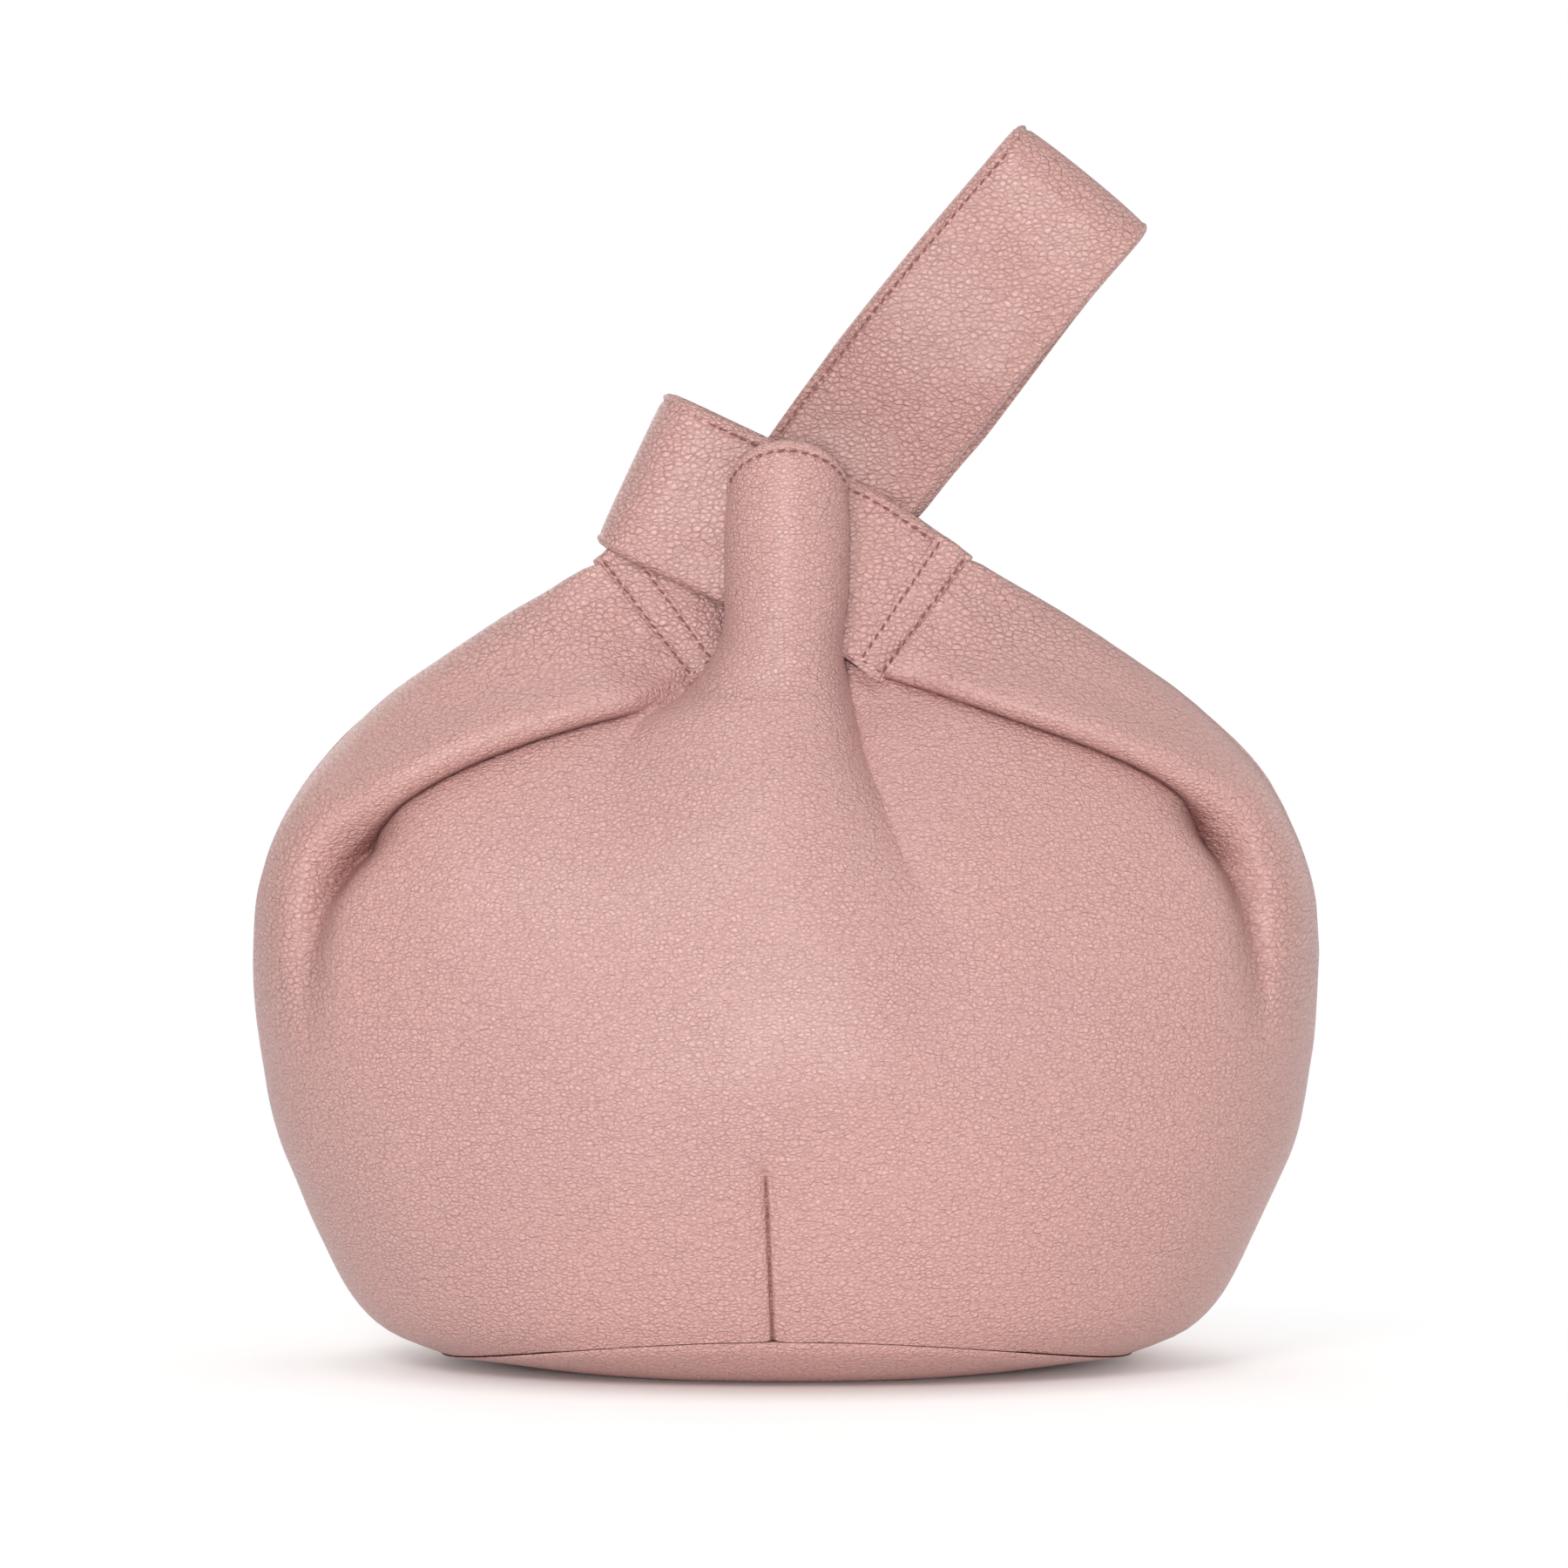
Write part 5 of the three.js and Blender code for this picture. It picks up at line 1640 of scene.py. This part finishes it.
@dataclass
class LongHandle(Strap):
    """The long handle: from the left shoulder to the knot, and past it the free loop."""

    knot: tuple[float, float] = (8.12, 227.495)
    hinge: tuple[float, float] = (21.965, 244.592)
    lean: float = 51.0
    length: float = 112.0
    fold_radius: float = 8.6
    neck_radius: float = 4.1
    belly: float = 1.4
    start: float = -12.0
    back_slip: float = 2.4
    blend_reach: float = 9.0

    def root_path(self) -> StrapPath:
        """The root's middle line, running right from the left seam."""
        seam = self.form.left_seam
        rise = math.degrees(math.atan2(-seam.up[0], seam.up[1]))
        return StrapPath(tuple(seam.middle), rise, 33.0, 30.0, 52.0,
                         [(0, 8.8), (9.5, 8.8), (26, 4.1), (60, 4.1)],
                         [(0, 0.225), (9.5, 0.225), (26, 0.0), (60, 0.0)])

    def free_place(self, s: Array, w: Array, depth: Array) -> Array:
        """A place on the free strap: knot + s along its lean + w across it, and slack added by hand.

        A place on the free strap: knot + s along its lean + w across it, and slack added.
        front one.

        Args:
            s: places along the strap.
            w: places across it.
            depth: y of the places.

        Returns:
            (..., 3) places.
        """
        angle = math.radians(self.lean)
        bow = -2.2 * np.sin(np.clip(s / self.length, 0, 1) * math.pi)
        slip = self.back_slip * smooth(depth, -4, 6) * (1 - smooth(s, 40, 108)) * smooth(s, -8, 20)
        across = w + slip
        x = self.knot[0] + s * math.cos(angle) + across * math.sin(angle) + bow * math.sin(angle) * 0.6
        z = self.knot[1] + s * math.sin(angle) - across * math.cos(angle) - bow * math.cos(angle) * 0.6
        return np.stack([x, depth, z], -1)

    def half_gap(self, s: Array) -> Array:
        """Half the way between the faces: small in the knot, wider above it, the fold's radius at the tip."""
        opened = (self.fold_radius - self.neck_radius) * smooth(s, 12, 58)
        return self.neck_radius + opened + self.belly * bump(s - 62, 24)

    def slack(self, s: Array, w: Array) -> Array:
        """Slow waves of the free strap, the same for both its layers."""
        return 0.35 * ripple(s, w, 34.0, 3)

    def ply(self, inset: float, thick: float, shaped: bool) -> tuple[Array, Array]:
        """One ply of the free loop, up the front, round the tip and down the back.

        Args:
            inset: depth of the ply's outer face in the strap.
            thick: thickness of the ply.
            shaped: whether its outer face has piped edges and a stitch groove.

        Returns:
            Outer and inner face as grids along and across.
        """
        tip = self.length - self.fold_radius
        s, w = np.linspace(self.start, tip, 74)[:, None], self.section.places()
        turn = np.linspace(0, math.pi, 26)[1:-1, None]
        pinch = 1 - 0.24 * smooth(abs(w), 10, 20) * (1 - smooth(s, 26, 52))
        narrow = 1 - 0.05 * (1 - smooth(s, -10, 20))
        corner = 1 - 0.06 * (w / self.section.half_width) ** 2
        slack = self.slack(s, w)
        faces = []
        for depth_in in (inset, inset + thick):
            rise = self.section.rise(-w) if shaped and depth_in == inset else 0 * w
            deep = self.half_gap(s) * pinch - depth_in + rise
            front, back = (self.free_place(s + 0 * w, w * narrow, y) for y in (-(deep + slack), deep - slack))
            radius = self.fold_radius - depth_in + rise
            bend = self.free_place(tip + np.sin(turn) * radius * corner, w + 0 * turn, -np.cos(turn) * radius)
            faces.append(np.concatenate([front, bend, back[::-1]]))
        return faces[0], faces[1]

    def root(self, side: Side) -> tuple[Array, Array]:
        """Outer and inner face of one root layer, gathered narrower towards the knot.

        Args:
            side: front or back layer.

        Returns:
            The two faces as grids along and across.
        """
        path = self.root_path()
        s, w = self.places(path.length, 44), self.section.places()
        narrow = 1 - 0.3 * smooth(s, 14, path.length) - 0.07 * (1 - smooth(s, 9, 20))
        gather = 0.5 * np.sin(w / self.section.half_width * 7.0) * smooth(s, 18, 40)
        thick = self.outer_ply + self.gap + self.inner_ply
        faces = []
        for depth_in, rise in ((0.0, self.section.rise(w)), (thick, 0 * w)):
            deep = path.depth(s, w) - depth_in + rise + gather
            faces.append(standing(path.spot(s, w * narrow), side.value * deep))
        return faces[0], faces[1]

    def build(self, finishes: Finishes) -> None:
        """Makes roots, seam bands, the free loop and the stitching.

        Args:
            finishes: the bag's materials.
        """
        for side in Side:
            obj = make_mesh(f"handle_root_cover_{side.word}", *closed_sheet(*self.root(side)))
            finishes.dress(obj, "leather", f"handle_root_{side.word}")
            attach(obj, "bag")
        half_length = self.form.left_seam.length / 2
        SeamBand(self.root_path(), self.band_width, half_length, self.stitches, "left").build(finishes)
        reach = np.array([math.cos(math.radians(self.lean)), math.sin(math.radians(self.lean))])
        hinge = np.array(self.hinge)
        names = (("long_loop_cover", "long_loop_outer", "handle_neck_front", "handle_neck_back"),
                 ("long_loop_backing", "long_loop_inner"))
        for (name, *nodes), ply in zip(names, self.plies()):
            outer, inner = self.ply(*ply)
            along = (outer[..., 0] - hinge[0]) * reach[0] + (outer[..., 2] - hinge[1]) * reach[1]
            # painted shade on the strap's face: a little darker all along, darkest where it runs down into
            # the knot
            painted_knot_shade = 0.08 + 0.18 * (1 - smooth(along, 10, 80)) if name == "long_loop_cover" else None
            obj = make_mesh(name, *closed_sheet(outer, inner), fold=painted_knot_shade)
            finishes.dress(obj, "leather", *nodes)
            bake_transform(obj)
        s = np.linspace(8.0, self.length - self.fold_radius, 160)
        w = np.full_like(s, -self.section.half_width + self.section.inset)
        for side in Side:
            line = self.free_place(s, w, side.value * (self.half_gap(s) - 0.15) - self.slack(s, w))
            obj = make_mesh(f"long_loop_stitches_{side.word}", *self.stitches.sew(line, side.out))
            finishes.dress(obj, "thread", f"long_loop_thread_{side.word}")
            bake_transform(obj)


@dataclass
class Studio:
    """Pale floor and backdrop, soft lamps and the camera at the photograph's place."""

    aim: tuple[float, float, float] = (-0.0007, 0.0, 0.154)
    distance: float = 2.0
    elevation: float = 4.0
    lens: float = 173.75
    lit_radius: float = 0.09
    white_radius: float = 0.24
    floor_stretch: float = 1.7
    floor_glow: float = 0.3
    world_strength: float = 0.32
    lamp_aim: tuple[float, float, float] = (0.0, 0.0, 0.13)
    lamps: tuple = (
        ("key", (-0.6, -1.45, 1.15), 0.6, 11.0, (1.0, 0.985, 0.97)),
        ("front", (-0.08, -1.9, 0.3), 0.4, 16.5, (1.0, 0.985, 0.97)),
        ("fill", (1.4, -0.9, 0.8), 1.2, 4.0, (0.98, 0.98, 1.0)),
        ("top", (0.0, 0.2, 1.8), 1.2, 6.0, (1.0, 1.0, 1.0)),
        ("back_left", (-0.9, 1.7, 0.9), 1.3, 8.0, (1.0, 0.99, 0.98)),
        ("back_right", (1.5, 1.2, 0.7), 1.3, 7.0, (1.0, 0.99, 0.98)))

    def backdrop(self) -> None:
        """A wide round floor: lit and shaded near the bag, plain white to the eye further out."""
        radius = np.concatenate([np.linspace(0.01, 0.9, 24), np.linspace(1.0, 6.0, 12)])[:, None]
        angle = np.linspace(0, 2 * math.pi, 96, endpoint=False)
        grid = np.stack([radius * np.cos(angle), radius * np.sin(angle), 0 * radius * angle], -1)
        floor = make_mesh("floor", grid.reshape(-1, 3) / MM, ring_faces(*grid.shape[:2]))
        n = Nodes(bpy.data.materials.new("white_floor"))
        n.surface({"Base Color": (0.9, 0.885, 0.88), "Roughness": 0.8, "Specular IOR Level": 0.1})
        ray = n.add("LightPath").outputs
        seen = n.math("MAXIMUM", ray["Is Camera Ray"], ray["Is Glossy Ray"])
        seen = n.math("MAXIMUM", seen, ray["Is Transmission Ray"])
        where = n.add("TexCoord").outputs["Object"]
        oval = n.add("Mapping", {"Vector": where, "Scale": (1.0, self.floor_stretch, 1.0)}).outputs["Vector"]
        away = n.add("VectorMath", {0: oval}, operation="LENGTH").outputs["Value"]
        far = n.times(n.remap(away, self.lit_radius, self.white_radius), seen)
        lit = n.remap(away, self.lit_radius * 0.8, self.lit_radius * 1.4, 0.0, self.floor_glow)
        glow = n.add("Emission", {"Color": WHITE, "Strength": n.times(seen, lit)}).outputs[0]
        near = n.add("AddShader", {0: n.tree.nodes["Principled BSDF"].outputs[0], 1: glow}).outputs[0]
        white = n.add("Emission", {"Color": WHITE, "Strength": 1.0}).outputs[0]
        blend = n.add("MixShader", {0: far, 1: near, 2: white}).outputs[0]
        n.fill(n.tree.nodes["Material Output"], {"Surface": blend})
        floor.data.materials.append(n.owner)

    def stand(self, name: str, data: bpy.types.ID, at: Vector, towards: Vector) -> bpy.types.Object:
        """Puts a lamp or the camera at a place, facing along a direction.

        Args:
            name: its name.
            data: the lamp or camera.
            at: its place.
            towards: where it faces.

        Returns:
            The object.
        """
        obj = bpy.data.objects.new(name, data)
        obj.location = at
        obj.rotation_euler = towards.to_track_quat("-Z", "Y").to_euler()
        bpy.context.scene.collection.objects.link(obj)
        return obj

    def lamp(self, name: str, at: tuple[float, float, float], size: float, power: float,
             colour: tuple[float, float, float]) -> None:
        """A large soft lamp that faces the bag.

        Args:
            name: its name.
            at: its place.
            size: its width.
            power: its power in watts.
            colour: its colour.
        """
        data = bpy.data.lights.new(name, "AREA")
        data.shape, data.size, data.energy, data.color = "SQUARE", size, power, colour
        self.stand(name, data, Vector(at), Vector(self.lamp_aim) - Vector(at))

    def world(self) -> None:
        """White all round: dim as a light, plain white to the camera."""
        world = bpy.data.worlds.new("studio")
        n = Nodes(world)
        n.tree.nodes.clear()
        ray = n.add("LightPath").outputs
        seen = n.math("MAXIMUM", ray["Is Camera Ray"], ray["Is Transmission Ray"])
        soft = n.add("Background", {"Color": (1.0, 0.985, 0.98), "Strength": self.world_strength}).outputs[0]
        plain = n.add("Background", {"Color": WHITE, "Strength": 1.0}).outputs[0]
        mix = n.add("MixShader", {0: seen, 1: soft, 2: plain}).outputs[0]
        n.add("OutputWorld", {"Surface": mix})
        bpy.context.scene.world = world

    def camera(self) -> None:
        """The camera in front, slightly above the middle, with a long lens."""
        data = bpy.data.cameras.new("camera")
        data.lens, data.sensor_width = self.lens, 36.0
        data.clip_start, data.clip_end = 0.05, 20.0
        angle = math.radians(self.elevation)
        back = Vector((0, -math.cos(angle), math.sin(angle)))
        bpy.context.scene.camera = self.stand("camera", data, Vector(self.aim) + back * self.distance, -back)

    def build(self) -> None:
        """Sets up floor, light and camera."""
        self.backdrop()
        self.world()
        for lamp in self.lamps:
            self.lamp(*lamp)
        self.camera()
        bpy.context.scene.view_settings.view_transform = "Standard"


def main() -> None:
    """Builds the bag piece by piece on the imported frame."""
    logging.basicConfig(level=logging.INFO, format="%(name)s: %(message)s")
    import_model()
    finishes = Finishes()
    form = PouchForm()
    Studio().build()
    for part in (Panels(form), Tongues(form), Base(form), ShortLoop(form), LongHandle(form)):
        LOG.info("building %s", type(part).__name__)
        part.build(finishes)


if __name__ == "__main__":
    main()
